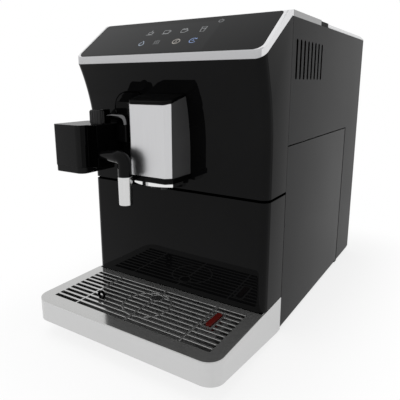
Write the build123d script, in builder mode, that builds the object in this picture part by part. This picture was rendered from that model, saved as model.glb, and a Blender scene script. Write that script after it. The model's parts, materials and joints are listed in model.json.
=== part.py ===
from build123d import *

import os
from math import hypot

# Overall sizes of the machine, in millimetres
body_width = 240.0
body_depth = 358.6
tray_reach = 102.7
foot_height = 8.0
panel_height = 343.3
deck_trim_height = 6.1

# Shared walls and clearances
wall = 2.5
seam_gap = 0.5
running_gap = 0.3
pin_gap = 0.05
overrun = 40.0

# Front body: split lines, corner and the overhanging curve
side_seam_depth = 48.7
front_split_drop = 182.4
front_corner_radius = 9.5
front_split_gap = 2.8
front_curve_height = 94.7
overhang_reach = 20.9
overhang_drop = 44.1
splice_drop = 6.0
splice_rise = 4.0
fascia_tab_reach = 10.0
fascia_tab_rise = 69.1
fascia_tab_tall = 40.0

# Sloping control panel with its silver trim
trim_lip_height = 7.6
trim_lip_setback = 0.5
slope_run = 54.1
slope_rise = 40.0
trim_bevel = 1.0
trim_bevel_angle = 62.0
trim_tail_length = 3.4
glass_thickness = 2.0
glass_side_margin = 3.7
glass_front_margin = 1.2
glass_corner_radius = 9.0
glass_top_radius = 4.5
glass_ledge = 3.0
glass_play = 0.15
sensor_board_thickness = 1.6
sensor_board_margin = 8.0

# Drip tray, grille and float
tray_height = 37.6
tray_corner_radius = 16.5
tray_front_clearance = 12.5
tray_keel_depth = 4.0
tray_keel_setback = 38.8
tray_tongue_depth = 105.0
tray_tongue_side_gap = 12.0
tray_tongue_height = 30.0
grille_thickness = 1.2
grille_slot_count = 10
grille_slot_pitch = 7.78
grille_slot_width = 5.1
grille_side_margin = 15.0
grille_slots_setback = 49.0
grille_rib_width = 2.0
grille_rib_count = 3
cup_ring_radius = 27.0
cup_ring_width = 1.8
cup_ring_setback = 47.0
finger_hole_radius = 6.5
finger_rim_width = 1.8
finger_hole_setback = 29.0
grille_clip_x = -52.0
grille_clip_row = 2
grille_clip_radius = 5.0
grille_clip_bore_radius = 2.9
grille_clip_depth = 2.6
grille_clip_foot_width = 7.0
grille_clip_foot_tall = 1.5
float_side_margin = 40.0
float_setback = 36.2
float_width = 6.5
float_length = 27.0
float_end_radius = 2.6
float_window_play = 1.0
float_stand = 1.2
float_rise = 6.0
float_body_width = 22.0
float_body_length = 38.0

# Side panels, vents and service door
vent_count = 8
vent_pitch = 12.1
vent_width = 5.0
vent_first_depth = 62.8
vent_low_drop = 61.8
vent_high_drop = 20.5
flange_width = 14.0
flange_thickness = 3.0
door_rear_depth = 285.9
door_top_drop = 130.8
door_top_gap = 1.3
hinge_barrel_radius = 3.0
hinge_pin_radius = 1.5
hinge_pin_length = 4.5
hinge_boss_height = 8.0
hinge_boss_reach = 5.0
door_rib_depth = 4.0
door_rib_count = 4

# Base
pan_thickness = 3.0
pan_inset = 1.2
foot_radius = 12.0
foot_stem_radius = 4.0
foot_side_inset = 24.0
foot_end_inset = 26.0

# Rear cover, its screws, inlet and switch
screw_shank_radius = 1.75
screw_head_radius = 3.4
screw_head_height = 1.7
screw_length = 9.0
screw_rows = 3
screw_row_margin = 30.0
inlet_side_margin = 50.0
inlet_height = 45.0
inlet_width = 27.6
inlet_tall = 19.6
inlet_flange_margin = 6.0
inlet_flange_thickness = 3.0
inlet_depth = 20.0
inlet_cavity_depth = 16.0
inlet_wall = 2.4
inlet_blade_width = 4.0
inlet_blade_thickness = 2.0
inlet_blade_length = 11.0
inlet_blade_spacing = 7.0
switch_spacing = 50.0
switch_window_width = 13.0
switch_window_tall = 23.0
switch_housing_wall = 5.0
switch_housing_depth = 12.0
rocker_width = 12.0
rocker_tall = 19.0
rocker_depth = 9.0
rocker_axis_depth = 6.0
rocker_tilt = 7.0
rocker_pin_length = 3.5
rear_vent_count = 9
rear_vent_pitch = 12.0
rear_vent_width = 5.0
rear_vent_length = 46.0
rear_vent_drop = 113.3

# Top: deck, bean lid frame, grip bar and tank rim
deck_thickness = 3.0
top_frame_depth = 139.0
frame_side_width = 12.0
frame_front_width = 7.3
frame_rear_width = 5.0
grip_depth = 29.0
grip_drop = 0.8
rim_side_width = 14.0
rim_front_width = 12.0
rim_rear_width = 6.0
rim_bevel = 4.6
lid_thickness = 3.8
lid_play = 0.4
lid_pin_radius = 1.2
lid_pin_length = 4.0
lid_grip_width = 60.0
lid_grip_reach = 9.0
lid_grip_height = 1.6

# Bean hopper and grinder
grinder_wall_gap = 7.0
hopper_front_gap = 13.3
hopper_rear_gap = 11.0
hopper_side_margin = 30.0
hopper_flange_overlap = 12.0
hopper_flange_rim = 3.2
hopper_flange_thickness = 2.0
hopper_throat_width = 45.0
hopper_wall = 2.2
grinder_top_drop = 63.3
grinder_housing_tall = 62.0
grinder_housing_radius = 36.0
grinder_housing_wall = 5.0
grinder_cap_thickness = 3.0
grinder_throat_radius = 18.0
chute_radius = 9.0
chute_bore_radius = 7.0
chute_start_drop = 46.0
chute_end_clearance = 12.0
chute_end_offset = 9.0
adjuster_tall = 12.0
adjuster_bore_radius = 15.0
burr_tall = 24.0
burr_low_radius = 24.0
burr_high_radius = 11.0
burr_gap = 1.5
burr_shell_radius = 29.5
rotor_shaft_radius = 4.5
rotor_shaft_engagement = 15.0
motor_radius = 30.0
motor_tall = 62.0

# Chassis, water circuit and boards
chassis_brew_gap = 9.0
chassis_wall = 3.0
chassis_front_depth = 52.0
shelf_clearance = 52.0
shelf_front_depth = 150.0
grounds_shelf_height = 39.0
tank_front_depth = 205.0
tank_rear_margin = 11.6
tank_side_margin = 23.0
tank_wall = 2.0
tank_flange_thickness = 2.0
tank_spigot_radius = 8.0
tank_spigot_length = 12.0
tank_spigot_x = -50.0
socket_radius = 14.0
socket_depth = 16.0
grinder_bracket_margin = 5.0
boiler_width = 62.0
boiler_length = 96.0
boiler_tall = 70.0
boiler_shelf_gap = 52.0
boiler_rear_margin = 62.0
boiler_dome_radius = 24.0
boiler_dome_tall = 14.0
pump_side_margin = 58.0
pump_width = 42.0
pump_length = 64.0
pump_rear_margin = 64.0
pump_nose_radius = 12.0
pump_nose_length = 24.0
pump_mount_tall = 14.0
pump_mount_length = 12.0
board_flange_gap = 13.5
board_wall_gap = 3.0
board_shelf_gap = 42.0
board_thickness = 1.6
board_standoff = 8.0
board_standoff_radius = 4.0
board_height = 100.0
board_chip_tall = 14.0
board_chip_width = 24.0

# Grounds container and brew unit
bin_front_depth = 54.0
bin_length = 80.0
bin_inner_gap = 5.0
bin_outer_gap = 10.0
bin_tall = 105.0
bin_wall = 2.0
brew_depth = 196.0
brew_side_margin = 13.0
brew_half_width = 46.0
brew_half_length = 48.0
brew_plate = 4.0
brew_column = 7.0
brew_top_drop = 143.3
cylinder_bore_radius = 22.0
cylinder_wall = 5.0
cylinder_height = 120.0
piston_gap = 0.08
piston_tall = 12.0
piston_lift = 50.0
piston_rod_radius = 6.0
piston_seat = 5.0
crosshead_tall = 10.0
crosshead_half_width = 15.0
crosshead_height = 48.0
crosshead_margin = 7.0
spindle_offset = 33.0
spindle_radius = 5.0
spindle_bracket_tall = 6.0
spindle_bracket_gap = 3.0
gear_motor_tall = 60.0
gear_motor_width = 24.0
gear_motor_length = 40.0

# Coffee spout
spout_half_width = 28.0
spout_front_reach = 40.0
spout_bevel = 6.0
spout_bottom_rise = 20.1
spout_tall = 75.3
spout_cover_thickness = 2.0
spout_shell_wall = 2.5
spout_back_wall = 12.0
bevel_nose_share = 0.414
bevel_side_share = 1.414
spout_top_rise = 10.4
spout_cap_front_tall = 3.7
spout_cap_rear_tall = 2.4
spout_base_tall = 5.4
spout_base_overhang = 1.2
spout_plate_tall = 4.4
spout_plate_inset = 2.0
spout_plate_front_drop = 3.0
nozzle_radius = 4.2
nozzle_bore_radius = 2.2
nozzle_length = 6.5
nozzle_spacing = 14.0
nozzle_reach = 20.0
spout_travel = 50.0
tongue_half_width = 8.5
tongue_drop = 6.5
tongue_tall = 24.0
slider_half_width = 20.0
slider_front_depth = 5.0
slider_thickness = 12.0
rail_radius = 2.5
rail_spacing = 30.0
rail_bracket_half_width = 24.0
rail_bracket_plate = 2.5
rail_bracket_depth = 20.0
rail_bracket_rise = 5.1
rail_bracket_tall = 104.0

# Milk frother and its steam port
port_x = -44.5
port_rise = 89.1
port_plate_thickness = 1.2
port_plate_left = 75.0
port_plate_right = 31.5
port_plate_low_rise = 61.1
port_plate_high_rise = 107.7
port_plate_radius = 24.0
port_plate_small_radius = 4.0
port_tube_radius = 6.8
port_tube_depth = 14.0
plug_radius = 4.0
plug_depth = 5.0
frother_right = 54.0
frother_width = 55.0
frother_front_reach = 69.0
frother_rear_reach = 16.0
frother_low_rise = 20.4
frother_tall = 52.7
frother_base_tall = 7.0
frother_edge_radius = 4.0
frother_nose_radius = 9.0
frother_shoulder_width = 12.0
frother_shoulder_gap = 1.0
frother_shoulder_radius = 2.0
frother_base_inset = 0.6
tower_x = -65.5
tower_reach = 30.0
tower_radius = 4.5
tower_tall = 15.5
knob_x = -64.5
knob_reach = 45.0
knob_radius = 7.25
knob_tall = 15.5
knob_rib_count = 16
knob_rib_radius = 0.7
knob_stem_radius = 3.0
knob_stem_depth = 8.0
tube_radius = 3.2
tube_rise = 7.5
tube_end_x = -37.0
tube_bend_radius = 6.0
tube_lug_drop = 8.0
tube_lug_half_width = 5.0
plug_block_right = 35.0
plug_block_front_reach = 26.0
plug_block_rear_reach = 14.0
plug_block_low_rise = 54.1
plug_block_tall = 43.0
elbow_rise = 41.1
elbow_reach = 52.0
elbow_radius = 7.3
elbow_tip_radius = 4.2
elbow_bend_radius = 8.5
elbow_low_rise = 20.6
nozzle_tube_x = -20.9
nozzle_tube_radius = 7.5
nozzle_tip_radius = 7.2
nozzle_tube_bore = 5.4
nozzle_tube_drop = 10.0

# Planes that the sizes above lead to
half = body_width / 2
depth_total = body_depth + tray_reach
tray_front_y = -depth_total / 2
front_y = tray_front_y + tray_reach
rear_y = depth_total / 2
base_z = foot_height
panel_top_z = base_z + panel_height
top_z = panel_top_z + deck_trim_height
seam_y = front_y + side_seam_depth
split_z = panel_top_z - front_split_drop
overhang_y = front_y - overhang_reach
overhang_z = panel_top_z - overhang_drop
flat_z = overhang_z - front_curve_height
tray_top_z = base_z + tray_height
half_gap = seam_gap / 2
brew_top_z = panel_top_z - brew_top_drop
shelf_low_z = brew_top_z + shelf_clearance
board_low_z = base_z + board_height
board_top_z = shelf_low_z - board_shelf_gap
frame_rear_y = front_y + top_frame_depth
hopper_front_y = seam_y + hopper_front_gap
hopper_rear_y = frame_rear_y - hopper_rear_gap
hopper_length = hopper_rear_y - hopper_front_y
grinder_y = (hopper_front_y + hopper_rear_y) / 2
grille_slot_reach = half - grille_side_margin
grille_rib_spacing = 2 * grille_slot_reach / grille_rib_count
float_x = half - float_side_margin
inlet_x = -half + inlet_side_margin
switch_x = inlet_x + switch_spacing
brew_x = half - brew_side_margin - brew_half_width
wall_right_x = brew_x - brew_half_width - chassis_brew_gap
wall_left_x = wall_right_x - chassis_wall
grinder_x = wall_left_x - grinder_wall_gap - grinder_housing_radius
hopper_half_width = half - hopper_side_margin
tank_half_width = half - tank_side_margin
pump_x = -half + pump_side_margin
board_left_x = -half + wall + flange_width + board_flange_gap
board_right_x = wall_left_x - board_wall_gap
board_x = (board_left_x + board_right_x) / 2
tiny = pin_gap


def block(x0, x1, y0, y1, z0, z1, mode=Mode.ADD):
    # A square-edged block between two corners
    with Locations(((x0 + x1) / 2, (y0 + y1) / 2, (z0 + z1) / 2)):
        Box(x1 - x0, y1 - y0, z1 - z0, mode=mode)


def post(x, y, z0, z1, radius, mode=Mode.ADD):
    # An upright round post
    with Locations((x, y, (z0 + z1) / 2)):
        Cylinder(radius, z1 - z0, mode=mode)


def rod_y(x, z, y0, y1, radius, mode=Mode.ADD):
    # A round rod from front to back
    with Locations((x, (y0 + y1) / 2, z)):
        Cylinder(radius, y1 - y0, rotation=(90, 0, 0), mode=mode)


def rod_x(y, z, x0, x1, radius, mode=Mode.ADD):
    # A round rod from left to right
    with Locations(((x0 + x1) / 2, y, z)):
        Cylinder(radius, x1 - x0, rotation=(0, 90, 0), mode=mode)


def front_form(shift, half_width, radius, bottom_z, back_y):
    # The upright front with its curve leaning forward, moved back by shift
    with BuildPart() as form:
        with BuildSketch(Plane.YZ):
            with BuildLine():
                Line((front_y + shift, bottom_z), (front_y + shift, flat_z))
                TangentArc(
                    (front_y + shift, flat_z), (overhang_y + shift, overhang_z), tangent=(0, 1)
                )
                Polyline(
                    (overhang_y + shift, overhang_z),
                    (overhang_y + shift, top_z + overrun),
                    (back_y, top_z + overrun),
                    (back_y, bottom_z),
                    (front_y + shift, bottom_z),
                )
            make_face()
        extrude(amount=half_width, both=True)
        corners = [
            edge
            for edge in form.edges()
            if abs(abs(edge.center().X) - half_width) < tiny
            and edge.center().Y < front_y + shift + tiny
            and edge.center().Z < top_z + overrun - tiny
        ]
        fillet(corners, radius)
    return form.part


def hinged_lid(half_width, lid_front_y, axis_y, axis_z):
    # A flat lid with a rounded rear edge and a pin at each end of it
    radius = lid_thickness / 2
    with BuildPart() as lid:
        block(-half_width, half_width, lid_front_y, axis_y, axis_z - radius, axis_z + radius)
        rod_x(axis_y, axis_z, -half_width, half_width, radius)
        reach = half_width + lid_pin_length
        rod_x(axis_y, axis_z, -reach, reach, lid_pin_radius)
        block(
            -lid_grip_width / 2,
            lid_grip_width / 2,
            lid_front_y,
            lid_front_y + lid_grip_reach,
            axis_z + radius - lid_grip_height,
            axis_z + radius + overrun,
            mode=Mode.SUBTRACT,
        )
    return lid.part


os.makedirs("parts", exist_ok=True)

# Base pan on four rubber feet
pan_half = half - pan_inset
pan_front_y = seam_y + pan_inset
pan_low_z = base_z - pan_thickness
hinge_x = half - hinge_barrel_radius
hinge_y = front_y + door_rear_depth - half_gap - hinge_barrel_radius
foot_places = [
    (side * (half - foot_side_inset), y)
    for side in (-1, 1)
    for y in (pan_front_y + foot_end_inset, rear_y - foot_end_inset)
]
with BuildPart() as base_pan:
    block(-pan_half, pan_half, pan_front_y, rear_y - half_gap, pan_low_z, base_z)
    block(
        hinge_x - hinge_boss_reach,
        half,
        hinge_y - hinge_boss_reach,
        hinge_y + hinge_boss_reach,
        pan_low_z,
        base_z,
    )
    post(hinge_x, hinge_y, pan_low_z, base_z, hinge_pin_radius + pin_gap, Mode.SUBTRACT)
    for x, y in foot_places:
        post(x, y, pan_low_z, base_z, foot_stem_radius + pin_gap, Mode.SUBTRACT)
base_pan.part.label = "base_pan"
export_step(base_pan.part, "parts/base_pan.step")

with BuildPart() as rubber_feet:
    for x, y in foot_places:
        post(x, y, 0, pan_low_z, foot_radius)
        post(x, y, pan_low_z, base_z, foot_stem_radius)
    rims = rubber_feet.edges().filter_by(GeomType.CIRCLE).group_by(Axis.Z)[0]
    fillet(rims, pan_thickness / 2)
rubber_feet.part.label = "rubber_feet"
export_step(rubber_feet.part, "parts/rubber_feet.step")

# Side panels: plain on the left, vents and the door opening on the right
panel_front_y = seam_y + half_gap
flange_rear_y = rear_y - wall
screw_x = half - wall - flange_width / 2
screw_low_z = base_z + screw_row_margin
screw_step = (panel_height - 2 * screw_row_margin) / (screw_rows - 1)
screw_places = [
    (side * screw_x, screw_low_z + row * screw_step) for side in (-1, 1) for row in range(screw_rows)
]
with BuildPart() as left_side_panel:
    block(-half, -half + wall, panel_front_y, rear_y, base_z, panel_top_z)
    block(
        -half + wall,
        -half + wall + flange_width,
        flange_rear_y - flange_thickness,
        flange_rear_y,
        base_z,
        panel_top_z - deck_thickness,
    )
    for x, z in screw_places:
        if x < 0:
            rod_y(x, z, flange_rear_y - overrun, rear_y, screw_shank_radius + pin_gap, Mode.SUBTRACT)
left_side_panel.part.label = "left_side_panel"
export_step(left_side_panel.part, "parts/left_side_panel.step")

door_top_z = panel_top_z - door_top_drop
door_rear_y = front_y + door_rear_depth
vent_centre_y = front_y + vent_first_depth + vent_pitch * (vent_count - 1) / 2
vent_centre_z = panel_top_z - (vent_low_drop + vent_high_drop) / 2
with BuildPart() as right_side_panel:
    block(half - wall, half, panel_front_y, rear_y, base_z, panel_top_z)
    block(
        half - wall - flange_width,
        half - wall,
        flange_rear_y - flange_thickness,
        flange_rear_y,
        base_z,
        panel_top_z - deck_thickness,
    )
    block(
        hinge_x - hinge_boss_reach,
        half - wall,
        hinge_y - hinge_boss_reach,
        hinge_y + hinge_boss_reach,
        door_top_z + half_gap,
        door_top_z + half_gap + hinge_boss_height,
    )
    block(
        half - wall - overrun,
        half + overrun,
        panel_front_y - overrun,
        door_rear_y + half_gap,
        base_z - overrun,
        door_top_z + half_gap,
        mode=Mode.SUBTRACT,
    )
    with BuildSketch(Plane.YZ.offset(half)):
        with Locations((vent_centre_y, vent_centre_z)):
            with GridLocations(vent_pitch, 0, vent_count, 1):
                SlotOverall(vent_low_drop - vent_high_drop, vent_width, rotation=90)
    extrude(amount=-wall, mode=Mode.SUBTRACT)
    post(
        hinge_x,
        hinge_y,
        door_top_z,
        door_top_z + half_gap + hinge_pin_length + pin_gap,
        hinge_pin_radius + pin_gap,
        Mode.SUBTRACT,
    )
    for x, z in screw_places:
        if x > 0:
            rod_y(x, z, flange_rear_y - overrun, rear_y, screw_shank_radius + pin_gap, Mode.SUBTRACT)
right_side_panel.part.label = "right_side_panel"
export_step(right_side_panel.part, "parts/right_side_panel.step")

# Service door, hinged on pins at its rear edge
door_low_z = base_z + half_gap
door_high_z = door_top_z + half_gap - door_top_gap
door_rib_step = (door_high_z - door_low_z) / (door_rib_count + 1)
with BuildPart() as service_door:
    block(half - wall, half, panel_front_y, hinge_y, door_low_z, door_high_z)
    post(hinge_x, hinge_y, door_low_z, door_high_z, hinge_barrel_radius)
    for row in range(1, door_rib_count + 1):
        z = door_low_z + row * door_rib_step
        block(
            half - wall - door_rib_depth,
            half - wall,
            panel_front_y + door_rib_depth,
            hinge_y,
            z - wall / 2,
            z + wall / 2,
        )
    post(hinge_x, hinge_y, door_high_z, door_high_z + hinge_pin_length, hinge_pin_radius)
    post(hinge_x, hinge_y, base_z - pan_thickness, door_low_z, hinge_pin_radius)
service_door.part.label = "service_door"
export_step(service_door.part, "parts/service_door.step")

# Rear cover with air slots, and the countersunk screws that hold it
inlet_z = base_z + inlet_height
with BuildPart() as rear_cover:
    block(-half + wall, half - wall, rear_y - wall, rear_y, base_z, panel_top_z)
    block(
        inlet_x - inlet_width / 2 - pin_gap,
        inlet_x + inlet_width / 2 + pin_gap,
        rear_y - overrun,
        rear_y + overrun,
        inlet_z - inlet_tall / 2 - pin_gap,
        inlet_z + inlet_tall / 2 + pin_gap,
        mode=Mode.SUBTRACT,
    )
    block(
        switch_x - switch_window_width / 2,
        switch_x + switch_window_width / 2,
        rear_y - overrun,
        rear_y + overrun,
        inlet_z - switch_window_tall / 2,
        inlet_z + switch_window_tall / 2,
        mode=Mode.SUBTRACT,
    )
    with BuildSketch(Plane.XZ.offset(-rear_y)):
        with Locations((0, panel_top_z - rear_vent_drop)):
            with GridLocations(rear_vent_pitch, 0, rear_vent_count, 1):
                SlotOverall(rear_vent_length, rear_vent_width, rotation=90)
    extrude(amount=wall, mode=Mode.SUBTRACT)
    for x, z in screw_places:
        rod_y(x, z, rear_y - wall, rear_y, screw_shank_radius + pin_gap, Mode.SUBTRACT)
        with Locations((x, rear_y - screw_head_height / 2, z)):
            Cone(
                screw_shank_radius + pin_gap,
                screw_head_radius + pin_gap,
                screw_head_height,
                rotation=(-90, 0, 0),
                mode=Mode.SUBTRACT,
            )
    for side_x in (board_left_x, board_right_x):
        for z in (board_low_z, board_top_z):
            inward_x = side_x + (board_standoff_radius if side_x < board_x else -board_standoff_radius)
            inward_z = z + (board_standoff_radius if z == board_low_z else -board_standoff_radius)
            rod_y(
                inward_x, inward_z, rear_y - wall - board_standoff, rear_y - wall, board_standoff_radius
            )
rear_cover.part.label = "rear_cover"
export_step(rear_cover.part, "parts/rear_cover.step")

with BuildPart() as cover_screws:
    for x, z in screw_places:
        rod_y(x, z, rear_y - screw_length, rear_y - screw_head_height, screw_shank_radius)
        with Locations((x, rear_y - screw_head_height / 2, z)):
            Cone(screw_shank_radius, screw_head_radius, screw_head_height, rotation=(-90, 0, 0))
cover_screws.part.label = "cover_screws"
export_step(cover_screws.part, "parts/cover_screws.step")

# Power inlet with its three blades, behind the rear cover
inlet_rear_y = rear_y - wall
with BuildPart() as power_inlet:
    block(
        inlet_x - inlet_width / 2,
        inlet_x + inlet_width / 2,
        rear_y - inlet_depth,
        rear_y,
        inlet_z - inlet_tall / 2,
        inlet_z + inlet_tall / 2,
    )
    block(
        inlet_x - inlet_width / 2 - inlet_flange_margin,
        inlet_x + inlet_width / 2 + inlet_flange_margin,
        inlet_rear_y - inlet_flange_thickness,
        inlet_rear_y,
        inlet_z - inlet_tall / 2 - inlet_flange_margin,
        inlet_z + inlet_tall / 2 + inlet_flange_margin,
    )
    block(
        inlet_x - inlet_width / 2 + inlet_wall,
        inlet_x + inlet_width / 2 - inlet_wall,
        rear_y - inlet_cavity_depth,
        rear_y + overrun,
        inlet_z - inlet_tall / 2 + inlet_wall,
        inlet_z + inlet_tall / 2 - inlet_wall,
        mode=Mode.SUBTRACT,
    )
    for blade in (-1, 0, 1):
        x = inlet_x + blade * inlet_blade_spacing
        blade_z = inlet_z + (inlet_blade_width / 2 if blade == 0 else -inlet_blade_width / 2)
        block(
            x - inlet_blade_thickness / 2,
            x + inlet_blade_thickness / 2,
            rear_y - inlet_cavity_depth,
            rear_y - inlet_cavity_depth + inlet_blade_length,
            blade_z - inlet_blade_width / 2,
            blade_z + inlet_blade_width / 2,
        )
power_inlet.part.label = "power_inlet"
export_step(power_inlet.part, "parts/power_inlet.step")

# Mains rocker switch in its housing
housing_half_width = switch_window_width / 2 + switch_housing_wall
housing_half_tall = switch_window_tall / 2 + switch_housing_wall
rocker_axis_y = rear_y - rocker_axis_depth
with BuildPart() as switch_housing:
    block(
        switch_x - housing_half_width,
        switch_x + housing_half_width,
        rear_y - wall - switch_housing_depth,
        rear_y - wall,
        inlet_z - housing_half_tall,
        inlet_z + housing_half_tall,
    )
    block(
        switch_x - switch_window_width / 2,
        switch_x + switch_window_width / 2,
        rear_y - wall - switch_housing_depth + switch_housing_wall / 2,
        rear_y,
        inlet_z - switch_window_tall / 2,
        inlet_z + switch_window_tall / 2,
        mode=Mode.SUBTRACT,
    )
    pin_reach = rocker_width / 2 + rocker_pin_length + pin_gap
    rod_x(
        rocker_axis_y,
        inlet_z,
        switch_x - pin_reach,
        switch_x + pin_reach,
        hinge_pin_radius + pin_gap,
        Mode.SUBTRACT,
    )
switch_housing.part.label = "switch_housing"
export_step(switch_housing.part, "parts/switch_housing.step")

with BuildPart() as power_switch:
    with Locations((switch_x, rocker_axis_y, inlet_z)):
        Box(rocker_width, rocker_depth, rocker_tall, rotation=(rocker_tilt, 0, 0))
    rod_x(
        rocker_axis_y,
        inlet_z,
        switch_x - rocker_width / 2 - rocker_pin_length,
        switch_x + rocker_width / 2 + rocker_pin_length,
        hinge_pin_radius,
    )
power_switch.part.label = "power_switch"
export_step(power_switch.part, "parts/power_switch.step")

# Upper front shell, with the spout's slot and the steam port's hole
spout_low_z = split_z + spout_bottom_rise
spout_high_z = spout_low_z + spout_tall
tongue_high_z = spout_high_z - tongue_drop
tongue_low_z = tongue_high_z - tongue_tall
slot_low_z = tongue_low_z - spout_travel - seam_gap
slot_high_z = tongue_high_z + seam_gap
port_z = split_z + port_rise
fascia_low_z = split_z + front_split_gap / 2
lip_y = overhang_y + trim_lip_setback
lip_z = overhang_z + trim_lip_height
slope_top_y = lip_y + slope_run
slope_top_z = lip_z + slope_rise
tail_y = seam_y - trim_tail_length
outer_front = front_form(0, half, front_corner_radius, fascia_low_z, seam_y - half_gap)
inner_front = front_form(
    wall, half - wall, front_corner_radius - wall, fascia_low_z - overrun, seam_y + overrun
)
with BuildPart() as upper_fascia:
    add(outer_front)
    add(inner_front, mode=Mode.SUBTRACT)
    with BuildSketch(Plane.YZ):
        with BuildLine():
            Polyline(
                (overhang_y - overrun, overhang_z),
                (overhang_y, overhang_z),
                (tail_y, panel_top_z),
                (seam_y + overrun, panel_top_z),
                (seam_y + overrun, top_z + 2 * overrun),
                (overhang_y - overrun, top_z + 2 * overrun),
                close=True,
            )
        make_face()
    extrude(amount=half + overrun, both=True, mode=Mode.SUBTRACT)
    block(
        -tongue_half_width - seam_gap,
        tongue_half_width + seam_gap,
        overhang_y - overrun,
        front_y + overrun,
        slot_low_z,
        slot_high_z,
        mode=Mode.SUBTRACT,
    )
    rod_y(
        port_x,
        port_z,
        overhang_y - overrun,
        front_y + overrun,
        port_tube_radius + pin_gap,
        Mode.SUBTRACT,
    )
    for inner_x in (-half + wall, half - 2 * wall):
        block(
            inner_x,
            inner_x + wall,
            seam_y - fascia_tab_reach,
            seam_y + fascia_tab_reach,
            split_z + fascia_tab_rise,
            split_z + fascia_tab_rise + fascia_tab_tall,
        )
upper_fascia.part.label = "upper_fascia"
export_step(upper_fascia.part, "parts/upper_fascia.step")

# Lower front shell above the drip tray, with a lip that laps inside the upper one


def shell_outline(inset, back_y):
    with Locations((0, (front_y + inset + back_y) / 2)):
        Rectangle(2 * (half - inset), back_y - front_y - inset)
    fillet(vertices().group_by(Axis.Y)[0], front_corner_radius - inset)


with BuildPart() as lower_fascia:
    with BuildSketch(Plane.XY.offset(tray_top_z)):
        shell_outline(0, seam_y - half_gap)
        with BuildSketch(mode=Mode.SUBTRACT):
            shell_outline(wall, seam_y + overrun)
    extrude(amount=split_z - front_split_gap / 2 - tray_top_z)
    with BuildSketch(Plane.XY.offset(split_z - splice_drop)):
        shell_outline(wall, seam_y - half_gap)
        with BuildSketch(mode=Mode.SUBTRACT):
            shell_outline(2 * wall, seam_y + overrun)
    extrude(amount=splice_drop + splice_rise)
lower_fascia.part.label = "lower_fascia"
export_step(lower_fascia.part, "parts/lower_fascia.step")

# Silver trim round the sloping panel, the glass in it and the sensor board behind
slope_length = hypot(slope_run, slope_rise)
slope_plane = Plane(origin=(0, lip_y, lip_z), x_dir=(1, 0, 0), z_dir=(0, -slope_rise, slope_run))


def glass_outline(grow):
    low = glass_front_margin - grow
    high = slope_length + grow
    with Locations((0, (low + high) / 2)):
        Rectangle(2 * (half - glass_side_margin + grow), high - low)
    fillet(vertices().group_by(Axis.Y)[0], glass_corner_radius + grow)
    fillet(vertices().group_by(Axis.Y)[-1], max(glass_top_radius + grow, running_gap))


with BuildPart() as lip_form:
    with BuildSketch(Plane.XY.offset(overhang_z - overrun)):
        with Locations((0, (overhang_y + seam_y) / 2)):
            Rectangle(body_width, seam_y - overhang_y)
        fillet(vertices().group_by(Axis.Y)[0], front_corner_radius)
    extrude(amount=top_z - overhang_z + 2 * overrun)

with BuildPart() as bevel_form:
    with BuildSketch(-slope_plane):
        bevel_low = trim_bevel
        bevel_high = slope_length + overrun
        with Locations((0, -(bevel_low + bevel_high) / 2)):
            Rectangle(2 * (half - trim_bevel), bevel_high - bevel_low)
        fillet(vertices().group_by(Axis.Y)[-1], front_corner_radius - trim_bevel)
    extrude(amount=overrun, taper=-trim_bevel_angle)

with BuildPart() as panel_trim:
    with BuildSketch(Plane.YZ):
        with BuildLine():
            Polyline(
                (overhang_y, overhang_z),
                (lip_y, lip_z),
                (slope_top_y, slope_top_z),
                (seam_y - half_gap, top_z),
                (seam_y - half_gap, panel_top_z),
                (tail_y, panel_top_z),
                close=True,
            )
        make_face()
    extrude(amount=half, both=True)
    add(lip_form.part, mode=Mode.INTERSECT)
    add(bevel_form.part, mode=Mode.INTERSECT)
    with BuildSketch(slope_plane.offset(-glass_thickness)):
        glass_outline(glass_play)
    extrude(amount=overrun, mode=Mode.SUBTRACT)
    with BuildSketch(slope_plane):
        glass_outline(-glass_ledge)
    extrude(amount=overrun, both=True, mode=Mode.SUBTRACT)
panel_trim.part.label = "panel_trim"
export_step(panel_trim.part, "parts/panel_trim.step")

with BuildPart() as touch_glass:
    with BuildSketch(slope_plane.offset(-glass_thickness)):
        glass_outline(0)
    extrude(amount=glass_thickness)
touch_glass.part.label = "touch_glass"
export_step(touch_glass.part, "parts/touch_glass.step")

with BuildPart() as sensor_board:
    with BuildSketch(slope_plane.offset(-glass_thickness - sensor_board_thickness)):
        glass_outline(-sensor_board_margin)
    extrude(amount=sensor_board_thickness)
sensor_board.part.label = "sensor_board"
export_step(sensor_board.part, "parts/sensor_board.step")

# Drip tray: a silver dish with a rising keel, running back inside on its tongue
keel_y = front_y + tray_keel_setback
keel_slope = (tray_front_clearance + tray_keel_depth) / (keel_y - tray_front_y)
tray_wall_z = tray_top_z - grille_thickness
tray_floor_z = base_z + running_gap
tongue_half = half - tray_tongue_side_gap
tongue_rear_y = front_y + tray_tongue_depth


def keel_z(y):
    return base_z + tray_front_clearance - keel_slope * (y - tray_front_y)


def tray_outline(inset, back_y):
    with Locations((0, (tray_front_y + inset + back_y) / 2)):
        Rectangle(2 * (half - inset), back_y - tray_front_y - inset)
    fillet(vertices().group_by(Axis.Y)[0], tray_corner_radius - inset)


def below_keel(lift):
    # Everything under the tray's slanting underside, raised by lift
    with BuildPart() as wedge:
        with BuildSketch(Plane.YZ):
            with BuildLine():
                Polyline(
                    (tray_front_y - overrun, keel_z(tray_front_y - overrun) + lift),
                    (keel_y, keel_z(keel_y) + lift),
                    (seam_y + overrun, keel_z(keel_y) + lift),
                    (seam_y + overrun, base_z - overrun),
                    (tray_front_y - overrun, base_z - overrun),
                    close=True,
                )
            make_face()
        extrude(amount=half + overrun, both=True)
    return wedge.part


with BuildPart() as basin_space:
    with BuildSketch(Plane.XY.offset(base_z - tray_keel_depth)):
        tray_outline(wall, front_y - wall)
    extrude(amount=tray_top_z - base_z + overrun)
    add(below_keel(wall), mode=Mode.SUBTRACT)

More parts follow.
